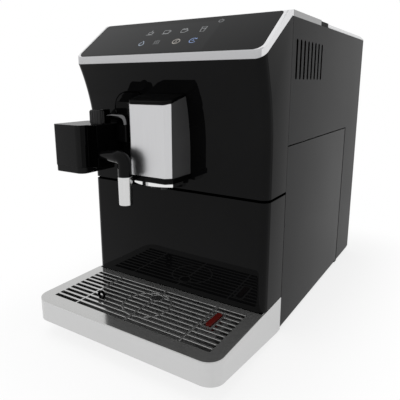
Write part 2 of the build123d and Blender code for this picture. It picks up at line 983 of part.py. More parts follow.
with BuildPart() as drip_tray:
    with BuildSketch(Plane.XY.offset(base_z - tray_keel_depth)):
        tray_outline(0, seam_y - half_gap)
    extrude(amount=tray_wall_z - base_z + tray_keel_depth)
    for side in (-1, 1):
        inner_x = side * (half - wall)
        low_x = min(inner_x, side * half)
        block(low_x, low_x + wall, front_y, seam_y - half_gap, tray_wall_z, tray_top_z - running_gap)
    add(below_keel(0), mode=Mode.SUBTRACT)
    add(basin_space.part, mode=Mode.SUBTRACT)
    hollow = half - wall
    block(-hollow, hollow, front_y, seam_y, tray_floor_z + wall, top_z, mode=Mode.SUBTRACT)
    block(-hollow, hollow, front_y, seam_y, base_z - overrun, tray_floor_z, mode=Mode.SUBTRACT)
    block(-tongue_half, tongue_half, front_y, tongue_rear_y, tray_floor_z, base_z + tray_tongue_height)
    block(
        -tongue_half + wall,
        tongue_half - wall,
        front_y,
        tongue_rear_y - wall,
        tray_floor_z + wall,
        top_z,
        mode=Mode.SUBTRACT,
    )
drip_tray.part.label = "drip_tray"
export_step(drip_tray.part, "parts/drip_tray.step")

# Grille plate with its slots, ribs, cup ring, finger hole and float window
slots_y = front_y - grille_slots_setback
float_y = front_y - float_setback
with BuildPart() as drip_grille:
    with BuildSketch(Plane.XY.offset(tray_wall_z)):
        tray_outline(0, front_y - running_gap)
        with Locations((0, slots_y)):
            with GridLocations(0, grille_slot_pitch, 1, grille_slot_count):
                Rectangle(2 * grille_slot_reach, grille_slot_width, mode=Mode.SUBTRACT)
            with GridLocations(grille_rib_spacing, 0, grille_rib_count, 1):
                Rectangle(grille_rib_width, grille_slot_count * grille_slot_pitch)
        with Locations((0, front_y - cup_ring_setback)):
            with BuildSketch(mode=Mode.PRIVATE) as cup_ring:
                Circle(cup_ring_radius + cup_ring_width / 2)
                Circle(cup_ring_radius - cup_ring_width / 2, mode=Mode.SUBTRACT)
            add(cup_ring.sketch)
        with Locations((0, front_y - finger_hole_setback)):
            Circle(finger_hole_radius + finger_rim_width)
            Circle(finger_hole_radius, mode=Mode.SUBTRACT)
        with Locations((float_x, float_y)):
            frame_width = float_width + 2 * float_window_play + 2 * grille_rib_width
            frame_length = float_length + 2 * float_window_play + 2 * grille_rib_width
            Rectangle(frame_width, frame_length)
            Rectangle(
                float_width + 2 * float_window_play,
                float_length + 2 * float_window_play,
                mode=Mode.SUBTRACT,
            )
    extrude(amount=grille_thickness)
drip_grille.part.label = "drip_grille"
export_step(drip_grille.part, "parts/drip_grille.step")

with BuildPart() as grille_clip:
    clip_y = slots_y - grille_clip_row * grille_slot_pitch
    clip_front_y = clip_y - grille_clip_depth / 2
    clip_rear_y = clip_y + grille_clip_depth / 2
    clip_z = tray_top_z + grille_clip_radius
    rod_y(grille_clip_x, clip_z, clip_front_y, clip_rear_y, grille_clip_radius)
    rod_y(grille_clip_x, clip_z, clip_front_y, clip_rear_y, grille_clip_bore_radius, Mode.SUBTRACT)
    block(
        grille_clip_x - grille_clip_foot_width / 2,
        grille_clip_x + grille_clip_foot_width / 2,
        clip_front_y,
        clip_rear_y,
        tray_top_z,
        tray_top_z + grille_clip_foot_tall,
    )
grille_clip.part.label = "grille_clip"
export_step(grille_clip.part, "parts/grille_clip.step")

# Red float that rises through its window as the tray fills
float_front_y = float_y - float_body_length / 2
float_low_z = keel_z(float_front_y) + wall + running_gap
float_body_top_z = tray_wall_z - float_rise - running_gap
with BuildPart() as water_level_float:
    block(
        float_x - float_body_width / 2,
        float_x + float_body_width / 2,
        float_front_y,
        float_y + float_body_length / 2,
        float_low_z,
        float_body_top_z,
    )
    block(
        float_x - float_width / 2,
        float_x + float_width / 2,
        float_y - float_length / 2,
        float_y + float_length / 2,
        float_body_top_z,
        tray_top_z + float_stand,
    )
    fillet(
        water_level_float.edges().filter_by(Axis.Z).group_by(Axis.Z)[-1],
        float_end_radius,
    )
water_level_float.part.label = "water_level_float"
export_step(water_level_float.part, "parts/water_level_float.step")

# Top deck with the bean and tank openings, and the black grip bar between them
rim_front_y = frame_rear_y + grip_depth
tank_flange_half = half - rim_side_width / 2
tank_flange_front_y = rim_front_y + rim_front_width / 2
tank_flange_rear_y = rear_y - rim_rear_width / 2 - running_gap
with BuildPart() as top_deck:
    deck_half = half - wall
    deck_low_z = panel_top_z - deck_thickness
    block(-deck_half, deck_half, panel_front_y, rear_y - wall, deck_low_z, panel_top_z)
    block(
        -half + running_gap,
        half - running_gap,
        frame_rear_y + half_gap,
        rim_front_y - half_gap,
        panel_top_z,
        top_z - grip_drop,
    )
    block(
        -hopper_half_width - half_gap,
        hopper_half_width + half_gap,
        grinder_y - hopper_length / 2 - half_gap,
        grinder_y + hopper_length / 2 + half_gap,
        panel_top_z - overrun,
        panel_top_z,
        mode=Mode.SUBTRACT,
    )
    block(
        -tank_flange_half - seam_gap,
        tank_flange_half + seam_gap,
        tank_flange_front_y - seam_gap,
        tank_flange_rear_y + seam_gap,
        panel_top_z - overrun,
        panel_top_z,
        mode=Mode.SUBTRACT,
    )
top_deck.part.label = "top_deck"
export_step(top_deck.part, "parts/top_deck.step")

# Silver frame round the bean lid, and the lid on its two end pins
lid_axis_z = top_z - lid_thickness / 2
frame_hole_half = half - frame_side_width
frame_hole_front_y = panel_front_y + frame_front_width
frame_hole_rear_y = frame_rear_y - frame_rear_width
bean_axis_y = frame_hole_rear_y - lid_play - lid_thickness / 2
pin_hole_reach = lid_pin_length + pin_gap
with BuildPart() as top_frame:
    block(-half, half, panel_front_y, frame_rear_y, panel_top_z, top_z)
    block(
        -frame_hole_half,
        frame_hole_half,
        frame_hole_front_y,
        frame_hole_rear_y,
        panel_top_z - overrun,
        top_z + overrun,
        mode=Mode.SUBTRACT,
    )
    rod_x(
        bean_axis_y,
        lid_axis_z,
        -frame_hole_half - pin_hole_reach,
        frame_hole_half + pin_hole_reach,
        lid_pin_radius + pin_gap,
        Mode.SUBTRACT,
    )
top_frame.part.label = "top_frame"
export_step(top_frame.part, "parts/top_frame.step")
bean_lid = hinged_lid(
    frame_hole_half - lid_play, frame_hole_front_y + lid_play, bean_axis_y, lid_axis_z
)
bean_lid.label = "bean_lid"
export_step(bean_lid, "parts/bean_lid.step")

# Water tank hanging from its bevelled rim, with the lid hinged in the rim
rim_hole_half = half - rim_side_width
rim_hole_front_y = rim_front_y + rim_front_width
rim_hole_rear_y = rear_y - rim_rear_width
rim_low_z = panel_top_z + running_gap
tank_axis_y = rim_hole_rear_y - lid_play - lid_thickness / 2
with BuildPart() as tank_rim:
    block(-half, half, rim_front_y, rear_y, rim_low_z, top_z)
    chamfer(tank_rim.faces().sort_by(Axis.Z)[-1].edges(), rim_bevel)
    block(
        -rim_hole_half,
        rim_hole_half,
        rim_hole_front_y,
        rim_hole_rear_y,
        panel_top_z - overrun,
        top_z + overrun,
        mode=Mode.SUBTRACT,
    )
    rod_x(
        tank_axis_y,
        lid_axis_z,
        -rim_hole_half - pin_hole_reach,
        rim_hole_half + pin_hole_reach,
        lid_pin_radius + pin_gap,
        Mode.SUBTRACT,
    )
tank_rim.part.label = "tank_rim"
export_step(tank_rim.part, "parts/tank_rim.step")
tank_lid = hinged_lid(
    rim_hole_half - lid_play, rim_hole_front_y + lid_play, tank_axis_y, lid_axis_z
)
tank_lid.label = "tank_lid"
export_step(tank_lid, "parts/tank_lid.step")

shelf_top_z = shelf_low_z + chassis_wall
tank_low_z = shelf_top_z + running_gap
tank_front_y = front_y + tank_front_depth
tank_rear_y = rear_y - tank_rear_margin
spigot_y = (tank_front_y + tank_rear_y) / 2
flange_low_z = rim_low_z - tank_flange_thickness
with BuildPart() as water_tank:
    block(-tank_half_width, tank_half_width, tank_front_y, tank_rear_y, tank_low_z, rim_low_z)
    block(
        -tank_flange_half,
        tank_flange_half,
        tank_flange_front_y,
        tank_flange_rear_y,
        flange_low_z,
        rim_low_z,
    )
    post(tank_spigot_x, spigot_y, tank_low_z - tank_spigot_length, tank_low_z, tank_spigot_radius)
    block(
        -tank_half_width + tank_wall,
        tank_half_width - tank_wall,
        tank_front_y + tank_wall,
        tank_rear_y - tank_wall,
        tank_low_z + tank_wall,
        top_z,
        mode=Mode.SUBTRACT,
    )
    post(
        tank_spigot_x,
        spigot_y,
        tank_low_z - tank_spigot_length,
        tank_low_z + tank_wall,
        tank_spigot_radius / 2,
        Mode.SUBTRACT,
    )
water_tank.part.label = "water_tank"
export_step(water_tank.part, "parts/water_tank.step")

# Chassis: dividing wall, tank shelf and grounds shelf
shelf_rear_y = flange_rear_y - flange_thickness
brew_y = front_y + brew_depth
brew_front_y = brew_y - brew_half_length
brew_rear_y = brew_y + brew_half_length
bin_front_y = front_y + bin_front_depth
bin_rear_y = bin_front_y + bin_length
grounds_low_z = base_z + grounds_shelf_height
grounds_top_z = grounds_low_z + wall
bin_left_x = wall_right_x + bin_inner_gap
bin_right_x = half - wall - bin_outer_gap
motor_low_z = panel_top_z - grinder_top_drop - grinder_housing_tall - motor_tall
bracket_half = motor_radius + grinder_bracket_margin
with BuildPart() as chassis:
    block(wall_left_x, wall_right_x, brew_front_y, shelf_rear_y, base_z, shelf_low_z)
    block(
        -half + wall,
        half - wall,
        front_y + shelf_front_depth + bin_inner_gap,
        shelf_rear_y,
        shelf_low_z,
        shelf_top_z,
    )
    block(
        wall_left_x,
        wall_right_x,
        front_y + chassis_front_depth,
        brew_front_y,
        grounds_low_z,
        brew_top_z,
    )
    block(
        wall_right_x,
        bin_right_x + bin_inner_gap,
        front_y + chassis_front_depth,
        bin_rear_y + bin_inner_gap,
        grounds_low_z,
        grounds_top_z,
    )
    block(
        grinder_x - bracket_half,
        wall_left_x,
        grinder_y - bracket_half,
        grinder_y + bracket_half,
        motor_low_z - chassis_wall,
        motor_low_z,
    )
    block(
        wall_left_x,
        wall_right_x,
        brew_front_y,
        brew_y - cylinder_bore_radius,
        brew_top_z,
        shelf_low_z,
        mode=Mode.SUBTRACT,
    )
    post(
        tank_spigot_x,
        spigot_y,
        shelf_low_z,
        shelf_top_z,
        tank_spigot_radius + running_gap,
        Mode.SUBTRACT,
    )
chassis.part.label = "chassis"
export_step(chassis.part, "parts/chassis.step")

with BuildPart() as tank_socket:
    post(tank_spigot_x, spigot_y, shelf_low_z - socket_depth, shelf_low_z, socket_radius)
    post(
        tank_spigot_x,
        spigot_y,
        shelf_low_z - socket_depth + tank_wall,
        shelf_low_z,
        tank_spigot_radius + running_gap,
        Mode.SUBTRACT,
    )
tank_socket.part.label = "tank_socket"
export_step(tank_socket.part, "parts/tank_socket.step")

# Bean hopper: a flange on the deck and a funnel down to the grinder
cap_low_z = panel_top_z - grinder_top_drop
cap_top_z = cap_low_z + grinder_cap_thickness


def funnel(inset):
    with BuildPart() as form:
        with BuildSketch(Plane.XY.offset(panel_top_z)):
            with Locations((0, grinder_y)):
                Rectangle(2 * (hopper_half_width - inset), hopper_length - 2 * inset)
        with BuildSketch(Plane.XY.offset(cap_top_z)):
            with Locations((grinder_x, grinder_y)):
                Rectangle(hopper_throat_width - 2 * inset, hopper_throat_width - 2 * inset)
        loft(ruled=True)
    return form.part


with BuildPart() as bean_hopper:
    add(funnel(0))
    block(
        -hopper_half_width - hopper_flange_overlap,
        hopper_half_width + hopper_flange_overlap,
        grinder_y - hopper_length / 2 - hopper_flange_rim,
        grinder_y + hopper_length / 2 + hopper_flange_rim,
        panel_top_z,
        panel_top_z + hopper_flange_thickness,
    )
    add(funnel(hopper_wall), mode=Mode.SUBTRACT)
    block(
        -hopper_half_width + hopper_wall,
        hopper_half_width - hopper_wall,
        grinder_y - hopper_length / 2 + hopper_wall,
        grinder_y + hopper_length / 2 - hopper_wall,
        panel_top_z,
        top_z,
        mode=Mode.SUBTRACT,
    )
bean_hopper.part.label = "bean_hopper"
export_step(bean_hopper.part, "parts/bean_hopper.step")

# Grinder: housing, motor, adjusting ring with the upper burr, and the turning burr
housing_low_z = cap_low_z - grinder_housing_tall
housing_bore = grinder_housing_radius - grinder_housing_wall
adjuster_top_z = cap_low_z - running_gap
adjuster_low_z = adjuster_top_z - adjuster_tall
burr_low_z = adjuster_low_z - burr_tall
with BuildPart() as grinder_housing:
    post(grinder_x, grinder_y, housing_low_z, cap_top_z, grinder_housing_radius)
    post(
        grinder_x,
        grinder_y,
        housing_low_z + grinder_housing_wall,
        cap_low_z,
        housing_bore,
        Mode.SUBTRACT,
    )
    post(grinder_x, grinder_y, cap_low_z, cap_top_z, grinder_throat_radius, Mode.SUBTRACT)
    post(
        grinder_x,
        grinder_y,
        housing_low_z,
        housing_low_z + grinder_housing_wall,
        rotor_shaft_radius + pin_gap,
        Mode.SUBTRACT,
    )
grinder_housing.part.label = "grinder_housing"
export_step(grinder_housing.part, "parts/grinder_housing.step")

with BuildPart() as grinder_motor:
    post(grinder_x, grinder_y, housing_low_z - motor_tall, housing_low_z, motor_radius)
    post(
        grinder_x,
        grinder_y,
        housing_low_z - rotor_shaft_engagement - pin_gap,
        housing_low_z,
        rotor_shaft_radius + pin_gap,
        Mode.SUBTRACT,
    )
grinder_motor.part.label = "grinder_motor"
export_step(grinder_motor.part, "parts/grinder_motor.step")

with BuildPart() as grind_adjuster:
    post(grinder_x, grinder_y, adjuster_low_z, adjuster_top_z, housing_bore - running_gap)
    post(grinder_x, grinder_y, adjuster_low_z, adjuster_top_z, adjuster_bore_radius, Mode.SUBTRACT)
grind_adjuster.part.label = "grind_adjuster"
export_step(grind_adjuster.part, "parts/grind_adjuster.step")

with BuildPart() as upper_burr:
    post(grinder_x, grinder_y, burr_low_z, adjuster_low_z, burr_shell_radius)
    with Locations((grinder_x, grinder_y, (burr_low_z + adjuster_low_z) / 2)):
        Cone(
            burr_low_radius + burr_gap,
            burr_high_radius + burr_gap,
            burr_tall,
            mode=Mode.SUBTRACT,
        )
upper_burr.part.label = "upper_burr"
export_step(upper_burr.part, "parts/upper_burr.step")

with BuildPart() as lower_burr:
    with Locations((grinder_x, grinder_y, (burr_low_z + adjuster_low_z) / 2)):
        Cone(burr_low_radius, burr_high_radius, burr_tall)
    post(
        grinder_x,
        grinder_y,
        housing_low_z - rotor_shaft_engagement,
        burr_low_z,
        rotor_shaft_radius,
    )
lower_burr.part.label = "lower_burr"
export_step(lower_burr.part, "parts/lower_burr.step")

chute_start = Vector(grinder_x, grinder_y, cap_low_z - chute_start_drop)
chute_end_z = brew_top_z + chute_end_clearance
chute_end = Vector(brew_x - chute_end_offset, brew_y - chute_end_offset, chute_end_z)
chute_plane = Plane(origin=chute_start, z_dir=chute_end - chute_start)
with BuildPart() as grounds_chute:
    with BuildSketch(chute_plane):
        Circle(chute_radius)
        Circle(chute_bore_radius, mode=Mode.SUBTRACT)
    extrude(amount=(chute_end - chute_start).length)
    post(
        grinder_x,
        grinder_y,
        base_z,
        panel_top_z,
        grinder_housing_radius + pin_gap,
        Mode.SUBTRACT,
    )
grounds_chute.part.label = "grounds_chute"
export_step(grounds_chute.part, "parts/grounds_chute.step")

# Boiler, pump on its mounts, power board and brew motor on the left of the wall
boiler_rear_y = rear_y - boiler_rear_margin
boiler_front_y = boiler_rear_y - boiler_length
boiler_top_z = shelf_low_z - boiler_shelf_gap
boiler_low_z = boiler_top_z - boiler_tall
boiler_x = wall_left_x - boiler_width / 2
with BuildPart() as boiler:
    boiler_left_x = wall_left_x - boiler_width
    block(boiler_left_x, wall_left_x, boiler_front_y, boiler_rear_y, boiler_low_z, boiler_top_z)
    post(
        boiler_x,
        (boiler_front_y + boiler_rear_y) / 2,
        boiler_top_z,
        boiler_top_z + boiler_dome_tall,
        boiler_dome_radius,
    )
boiler.part.label = "boiler"
export_step(boiler.part, "parts/boiler.step")

pump_rear_y = rear_y - pump_rear_margin
pump_front_y = pump_rear_y - pump_length
pump_low_z = base_z + pump_mount_tall
pump_left_x = pump_x - pump_width / 2
pump_right_x = pump_x + pump_width / 2
with BuildPart() as water_pump:
    block(pump_left_x, pump_right_x, pump_front_y, pump_rear_y, pump_low_z, pump_low_z + pump_width)
    rod_y(
        pump_x,
        pump_low_z + pump_width / 2,
        pump_front_y - pump_nose_length,
        pump_rear_y + pump_nose_length,
        pump_nose_radius,
    )
water_pump.part.label = "water_pump"
export_step(water_pump.part, "parts/water_pump.step")

with BuildPart() as pump_mounts:
    for mount_y in (pump_front_y, pump_rear_y - pump_mount_length):
        block(pump_left_x, pump_right_x, mount_y, mount_y + pump_mount_length, base_z, pump_low_z)
pump_mounts.part.label = "pump_mounts"
export_step(pump_mounts.part, "parts/pump_mounts.step")

board_rear_y = rear_y - wall - board_standoff
board_front_y = board_rear_y - board_thickness
board_middle_z = (board_low_z + board_top_z) / 2
with BuildPart() as power_board:
    block(
        board_left_x,
        board_right_x,
        board_front_y,
        board_rear_y,
        board_low_z,
        board_top_z,
    )
    for chip_z in (board_middle_z - board_chip_width, board_middle_z + board_chip_width):
        block(
            board_x - board_chip_width / 2,
            board_x + board_chip_width / 2,
            board_front_y - board_chip_tall,
            board_front_y,
            chip_z - board_chip_width / 2,
            chip_z + board_chip_width / 2,
        )
power_board.part.label = "power_board"
export_step(power_board.part, "parts/power_board.step")

brew_low_z = base_z + brew_plate
with BuildPart() as brew_motor:
    block(
        wall_left_x - gear_motor_width,
        wall_left_x,
        brew_front_y,
        brew_front_y + gear_motor_length,
        brew_low_z,
        brew_low_z + gear_motor_tall,
    )
brew_motor.part.label = "brew_motor"
export_step(brew_motor.part, "parts/brew_motor.step")

# Grounds container, taken out through the service door
with BuildPart() as grounds_container:
    block(bin_left_x, bin_right_x, bin_front_y, bin_rear_y, grounds_top_z, grounds_top_z + bin_tall)
    block(
        bin_left_x + bin_wall,
        bin_right_x - bin_wall,
        bin_front_y + bin_wall,
        bin_rear_y - bin_wall,
        grounds_top_z + bin_wall,
        grounds_top_z + bin_tall,
        mode=Mode.SUBTRACT,
    )
grounds_container.part.label = "grounds_container"
export_step(grounds_container.part, "parts/grounds_container.step")

# Brew unit: frame, cylinder, piston on its crosshead, and the spindle that drives it
brew_left_x = brew_x - brew_half_width
brew_right_x = brew_x + brew_half_width
column_y = brew_rear_y - brew_column
cylinder_top_z = brew_top_z - brew_plate
cylinder_low_z = base_z + cylinder_height
crosshead_low_z = base_z + crosshead_height
crosshead_top_z = crosshead_low_z + crosshead_tall
bracket_low_z = crosshead_top_z + piston_lift + spindle_bracket_gap
bracket_top_z = bracket_low_z + spindle_bracket_tall
spindle_y = brew_y + spindle_offset
spindle_hole = spindle_radius + pin_gap
with BuildPart() as brew_frame:
    block(brew_left_x, brew_right_x, brew_front_y, brew_rear_y, base_z, brew_low_z)
    block(brew_left_x, brew_right_x, column_y, brew_rear_y, brew_low_z, brew_top_z)
    block(brew_left_x, brew_right_x, brew_front_y, brew_rear_y, cylinder_top_z, brew_top_z)
    block(
        brew_x - 2 * spindle_radius,
        brew_x + 2 * spindle_radius,
        spindle_y - spindle_radius - spindle_bracket_gap,
        column_y,
        bracket_low_z,
        bracket_top_z,
    )
    post(brew_x, spindle_y, base_z, bracket_top_z, spindle_hole, Mode.SUBTRACT)
    post(chute_end.X, chute_end.Y, cylinder_top_z, brew_top_z, chute_bore_radius, Mode.SUBTRACT)
brew_frame.part.label = "brew_frame"
export_step(brew_frame.part, "parts/brew_frame.step")

with BuildPart() as brew_cylinder:
    post(brew_x, brew_y, cylinder_low_z, cylinder_top_z, cylinder_bore_radius + cylinder_wall)
    post(brew_x, brew_y, cylinder_low_z, cylinder_top_z, cylinder_bore_radius, Mode.SUBTRACT)
brew_cylinder.part.label = "brew_cylinder"
export_step(brew_cylinder.part, "parts/brew_cylinder.step")

piston_low_z = cylinder_low_z + piston_seat
with BuildPart() as brew_piston:
    post(brew_x, brew_y, piston_low_z, piston_low_z + piston_tall, cylinder_bore_radius - piston_gap)
    post(brew_x, brew_y, crosshead_top_z, piston_low_z, piston_rod_radius)
    block(
        brew_x - crosshead_half_width,
        brew_x + crosshead_half_width,
        brew_y - crosshead_margin,
        spindle_y + crosshead_margin,
        crosshead_low_z,
        crosshead_top_z,
    )
    post(brew_x, spindle_y, crosshead_low_z, crosshead_top_z, spindle_hole, Mode.SUBTRACT)
brew_piston.part.label = "brew_piston"
export_step(brew_piston.part, "parts/brew_piston.step")

with BuildPart() as brew_spindle:
    post(brew_x, spindle_y, base_z + running_gap, bracket_top_z, spindle_radius)
brew_spindle.part.label = "brew_spindle"
export_step(brew_spindle.part, "parts/brew_spindle.step")

# Coffee spout: carriage on two rails, silver cover, sloping cap, base, plate and nozzles
spout_front_y = front_y - spout_front_reach
spout_corner_y = spout_front_y + spout_bevel
spout_nose_half = spout_half_width - spout_bevel
cover_nose_inset = spout_cover_thickness * bevel_nose_share
cover_side_inset = spout_cover_thickness * bevel_side_share
clear_front = front_form(-seam_gap, half, front_corner_radius, base_z, seam_y)
spout_crown_z = spout_high_z + spout_top_rise
crown_slope = spout_top_rise / spout_front_reach
with BuildPart() as crown_space:
    with BuildSketch(Plane.YZ):
        with BuildLine():
            Polyline(
                (spout_front_y - overrun, spout_high_z - overrun * crown_slope),
                (front_y + overrun, spout_crown_z + overrun * crown_slope),
                (front_y + overrun, spout_crown_z + 2 * overrun),
                (spout_front_y - overrun, spout_crown_z + 2 * overrun),
                close=True,
            )
        make_face()
    extrude(amount=spout_half_width + overrun, both=True)
cover_inner = [
    (-spout_half_width + cover_side_inset, spout_corner_y),
    (-spout_nose_half + cover_nose_inset, spout_front_y + spout_cover_thickness),
    (spout_nose_half - cover_nose_inset, spout_front_y + spout_cover_thickness),
    (spout_half_width - cover_side_inset, spout_corner_y),
]
with BuildPart() as spout_cover:
    with BuildSketch(Plane.XY.offset(spout_low_z)):
        with BuildLine():
            Polyline(
                (-spout_half_width, spout_corner_y),
                (-spout_nose_half, spout_front_y),
                (spout_nose_half, spout_front_y),
                (spout_half_width, spout_corner_y),
                *reversed(cover_inner),
                close=True,
            )
        make_face()
    extrude(amount=spout_crown_z - spout_low_z)
    add(crown_space.part, mode=Mode.SUBTRACT)
spout_cover.part.label = "spout_cover"
export_step(spout_cover.part, "parts/spout_cover.step")

rail_y = front_y + slider_front_depth + slider_thickness / 2
with BuildPart() as spout_carriage:
    with BuildSketch(Plane.XY.offset(spout_low_z)):
        with BuildLine():
            Polyline(
                (-spout_half_width, front_y),
                (-spout_half_width, spout_corner_y),
                *cover_inner,
                (spout_half_width, spout_corner_y),
                (spout_half_width, front_y),
                close=True,
            )
        make_face()
    extrude(amount=spout_crown_z - spout_low_z)
    add(crown_space.part, mode=Mode.SUBTRACT)
    add(clear_front, mode=Mode.SUBTRACT)
    shell_half = spout_half_width - spout_shell_wall
    block(
        -shell_half,
        shell_half,
        spout_corner_y + spout_shell_wall,
        front_y - spout_back_wall,
        spout_low_z - overrun,
        spout_high_z - spout_shell_wall,
        mode=Mode.SUBTRACT,
    )
    block(
        -tongue_half_width,
        tongue_half_width,
        front_y - spout_back_wall,
        front_y + slider_front_depth,
        tongue_low_z,
        tongue_high_z,
    )
    block(
        -slider_half_width,
        slider_half_width,
        front_y + slider_front_depth,
        front_y + slider_front_depth + slider_thickness,
        tongue_low_z,
        tongue_high_z,
    )
    for rail_x in (-rail_spacing / 2, rail_spacing / 2):
        post(rail_x, rail_y, tongue_low_z, tongue_high_z, rail_radius + pin_gap, Mode.SUBTRACT)
spout_carriage.part.label = "spout_carriage"
export_step(spout_carriage.part, "parts/spout_carriage.step")

with BuildPart() as spout_rails:
    bracket_rear_y = front_y + rail_bracket_depth
    rail_low_z = split_z + rail_bracket_rise
    rail_high_z = rail_low_z + rail_bracket_tall
    block(
        -rail_bracket_half_width,
        rail_bracket_half_width,
        bracket_rear_y,
        bracket_rear_y + rail_bracket_plate,
        rail_low_z,
        rail_high_z,
    )
    for flange_z in (rail_low_z, rail_high_z - rail_bracket_plate):
        block(
            -rail_bracket_half_width,
            rail_bracket_half_width,
            front_y + wall,
            bracket_rear_y,
            flange_z,
            flange_z + rail_bracket_plate,
        )
    for rail_x in (-rail_spacing / 2, rail_spacing / 2):
        post(rail_x, rail_y, rail_low_z, rail_high_z, rail_radius)
spout_rails.part.label = "spout_rails"
export_step(spout_rails.part, "parts/spout_rails.step")

with BuildPart() as spout_cap:
    with BuildSketch(Plane.YZ):
        with BuildLine():
            Polyline(
                (spout_front_y, spout_high_z),
                (spout_front_y, spout_high_z + spout_cap_front_tall),
                (front_y, spout_crown_z + spout_cap_rear_tall),
                (front_y, spout_crown_z),
                close=True,
            )
        make_face()
    extrude(amount=spout_half_width, both=True)
    chamfer(spout_cap.edges().filter_by(Axis.Z).group_by(Axis.Y)[0], spout_bevel)
    add(clear_front, mode=Mode.SUBTRACT)
spout_cap.part.label = "spout_cap"
export_step(spout_cap.part, "parts/spout_cap.step")

nozzle_y = front_y - nozzle_reach
nozzle_places = [(-nozzle_spacing / 2, nozzle_y), (nozzle_spacing / 2, nozzle_y)]
spout_base_z = spout_low_z - spout_base_tall
spout_plate_z = spout_base_z - spout_plate_tall
with BuildPart() as spout_base:
    block(
        -spout_half_width - spout_base_overhang,
        spout_half_width + spout_base_overhang,
        spout_front_y - spout_base_overhang,
        front_y - seam_gap,
        spout_base_z,
        spout_low_z,
    )
    chamfer(spout_base.edges().filter_by(Axis.Z).group_by(Axis.Y)[0], spout_bevel)
    for x, y in nozzle_places:
        post(x, y, spout_base_z, spout_low_z, nozzle_radius + pin_gap, Mode.SUBTRACT)
spout_base.part.label = "spout_base"
export_step(spout_base.part, "parts/spout_base.step")

plate_half = spout_half_width - spout_plate_inset
plate_corner_y = spout_corner_y + spout_plate_front_drop
with BuildPart() as spout_plate:
    with BuildSketch(Plane.XY.offset(spout_plate_z)):
        with BuildLine():
            ThreePointArc(
                (-plate_half, plate_corner_y),
                (0, spout_front_y + spout_plate_inset / 2),
                (plate_half, plate_corner_y),
            )
            Polyline(
                (plate_half, plate_corner_y),
                (plate_half, front_y - spout_back_wall),
                (-plate_half, front_y - spout_back_wall),
                (-plate_half, plate_corner_y),
            )
        make_face()
        with Locations(*nozzle_places):
            Circle(nozzle_radius + pin_gap, mode=Mode.SUBTRACT)
    extrude(amount=spout_plate_tall)
spout_plate.part.label = "spout_plate"
export_step(spout_plate.part, "parts/spout_plate.step")

with BuildPart() as coffee_nozzles:
    for x, y in nozzle_places:
        post(x, y, spout_plate_z - nozzle_length, spout_low_z, nozzle_radius)
        post(x, y, spout_plate_z - nozzle_length, spout_low_z, nozzle_bore_radius, Mode.SUBTRACT)
coffee_nozzles.part.label = "coffee_nozzles"
export_step(coffee_nozzles.part, "parts/coffee_nozzles.step")

# Steam port: a thin plate following the front, and the tube behind it
port_low_z = split_z + port_plate_low_rise
port_high_z = split_z + port_plate_high_rise
port_mouth_y = front_y - plug_depth
plated_front = front_form(-port_plate_thickness, half, front_corner_radius, fascia_low_z, seam_y)
with BuildPart() as steam_port:
    with BuildSketch(Plane.XZ.offset(-front_y)):
        with Locations((-(port_plate_left + port_plate_right) / 2, (port_low_z + port_high_z) / 2)):
            Rectangle(port_plate_left - port_plate_right, port_high_z - port_low_z)
        plate_corners = vertices().sort_by(Axis.X)
        top_left = plate_corners[:2].sort_by(Axis.Y)[-1]
        fillet(top_left, port_plate_radius)
        fillet(vertices().sort_by(Axis.X)[-2:], port_plate_small_radius)
    extrude(amount=overrun)
    add(plated_front, mode=Mode.INTERSECT)
    add(outer_front, mode=Mode.SUBTRACT)
    port_rear_y = front_y + port_tube_depth
    rod_y(port_x, port_z, port_mouth_y, port_rear_y, port_tube_radius)
    rod_y(port_x, port_z, front_y - overrun, port_rear_y, plug_radius + pin_gap, Mode.SUBTRACT)
steam_port.part.label = "steam_port"
export_step(steam_port.part, "parts/steam_port.step")

# Milk frother hanging on the steam port by its plug
frother_left_x = -frother_right - frother_width
frother_front_y = front_y - frother_front_reach
frother_rear_y = front_y - frother_rear_reach
frother_low_z = split_z + frother_low_rise
frother_seam_z = frother_low_z + frother_base_tall
frother_top_z = frother_low_z + frother_tall
shoulder_x = -frother_right - frother_shoulder_width
shoulder_y = frother_front_y + frother_nose_radius + frother_shoulder_gap
tower_y = front_y - tower_reach
knob_y = front_y - knob_reach
with BuildPart() as frother_housing:
    block(frother_left_x, -frother_right, frother_front_y, frother_rear_y, frother_seam_z, frother_top_z)
    fillet(frother_housing.edges().filter_by(Axis.Z).group_by(Axis.X)[0], frother_edge_radius)
    block(
        shoulder_x,
        -frother_right + overrun,
        frother_front_y - overrun,
        shoulder_y,
        frother_seam_z - overrun,
        frother_top_z + overrun,
        Mode.SUBTRACT,
    )
    front_uprights = frother_housing.edges().filter_by(Axis.Z).group_by(Axis.Y)[0].sort_by(Axis.X)
    fillet(front_uprights[-1], frother_nose_radius)
    right_uprights = frother_housing.edges().filter_by(Axis.Z).group_by(Axis.X)[-1].sort_by(Axis.Y)
    fillet(right_uprights[0], frother_shoulder_radius)
    post(tower_x, tower_y, frother_top_z, frother_top_z + tower_tall, tower_radius)
    post(
        knob_x,
        knob_y,
        frother_top_z - knob_stem_depth - running_gap,
        frother_top_z,
        knob_stem_radius + pin_gap,
        Mode.SUBTRACT,
    )
frother_housing.part.label = "frother_housing"
export_step(frother_housing.part, "parts/frother_housing.step")

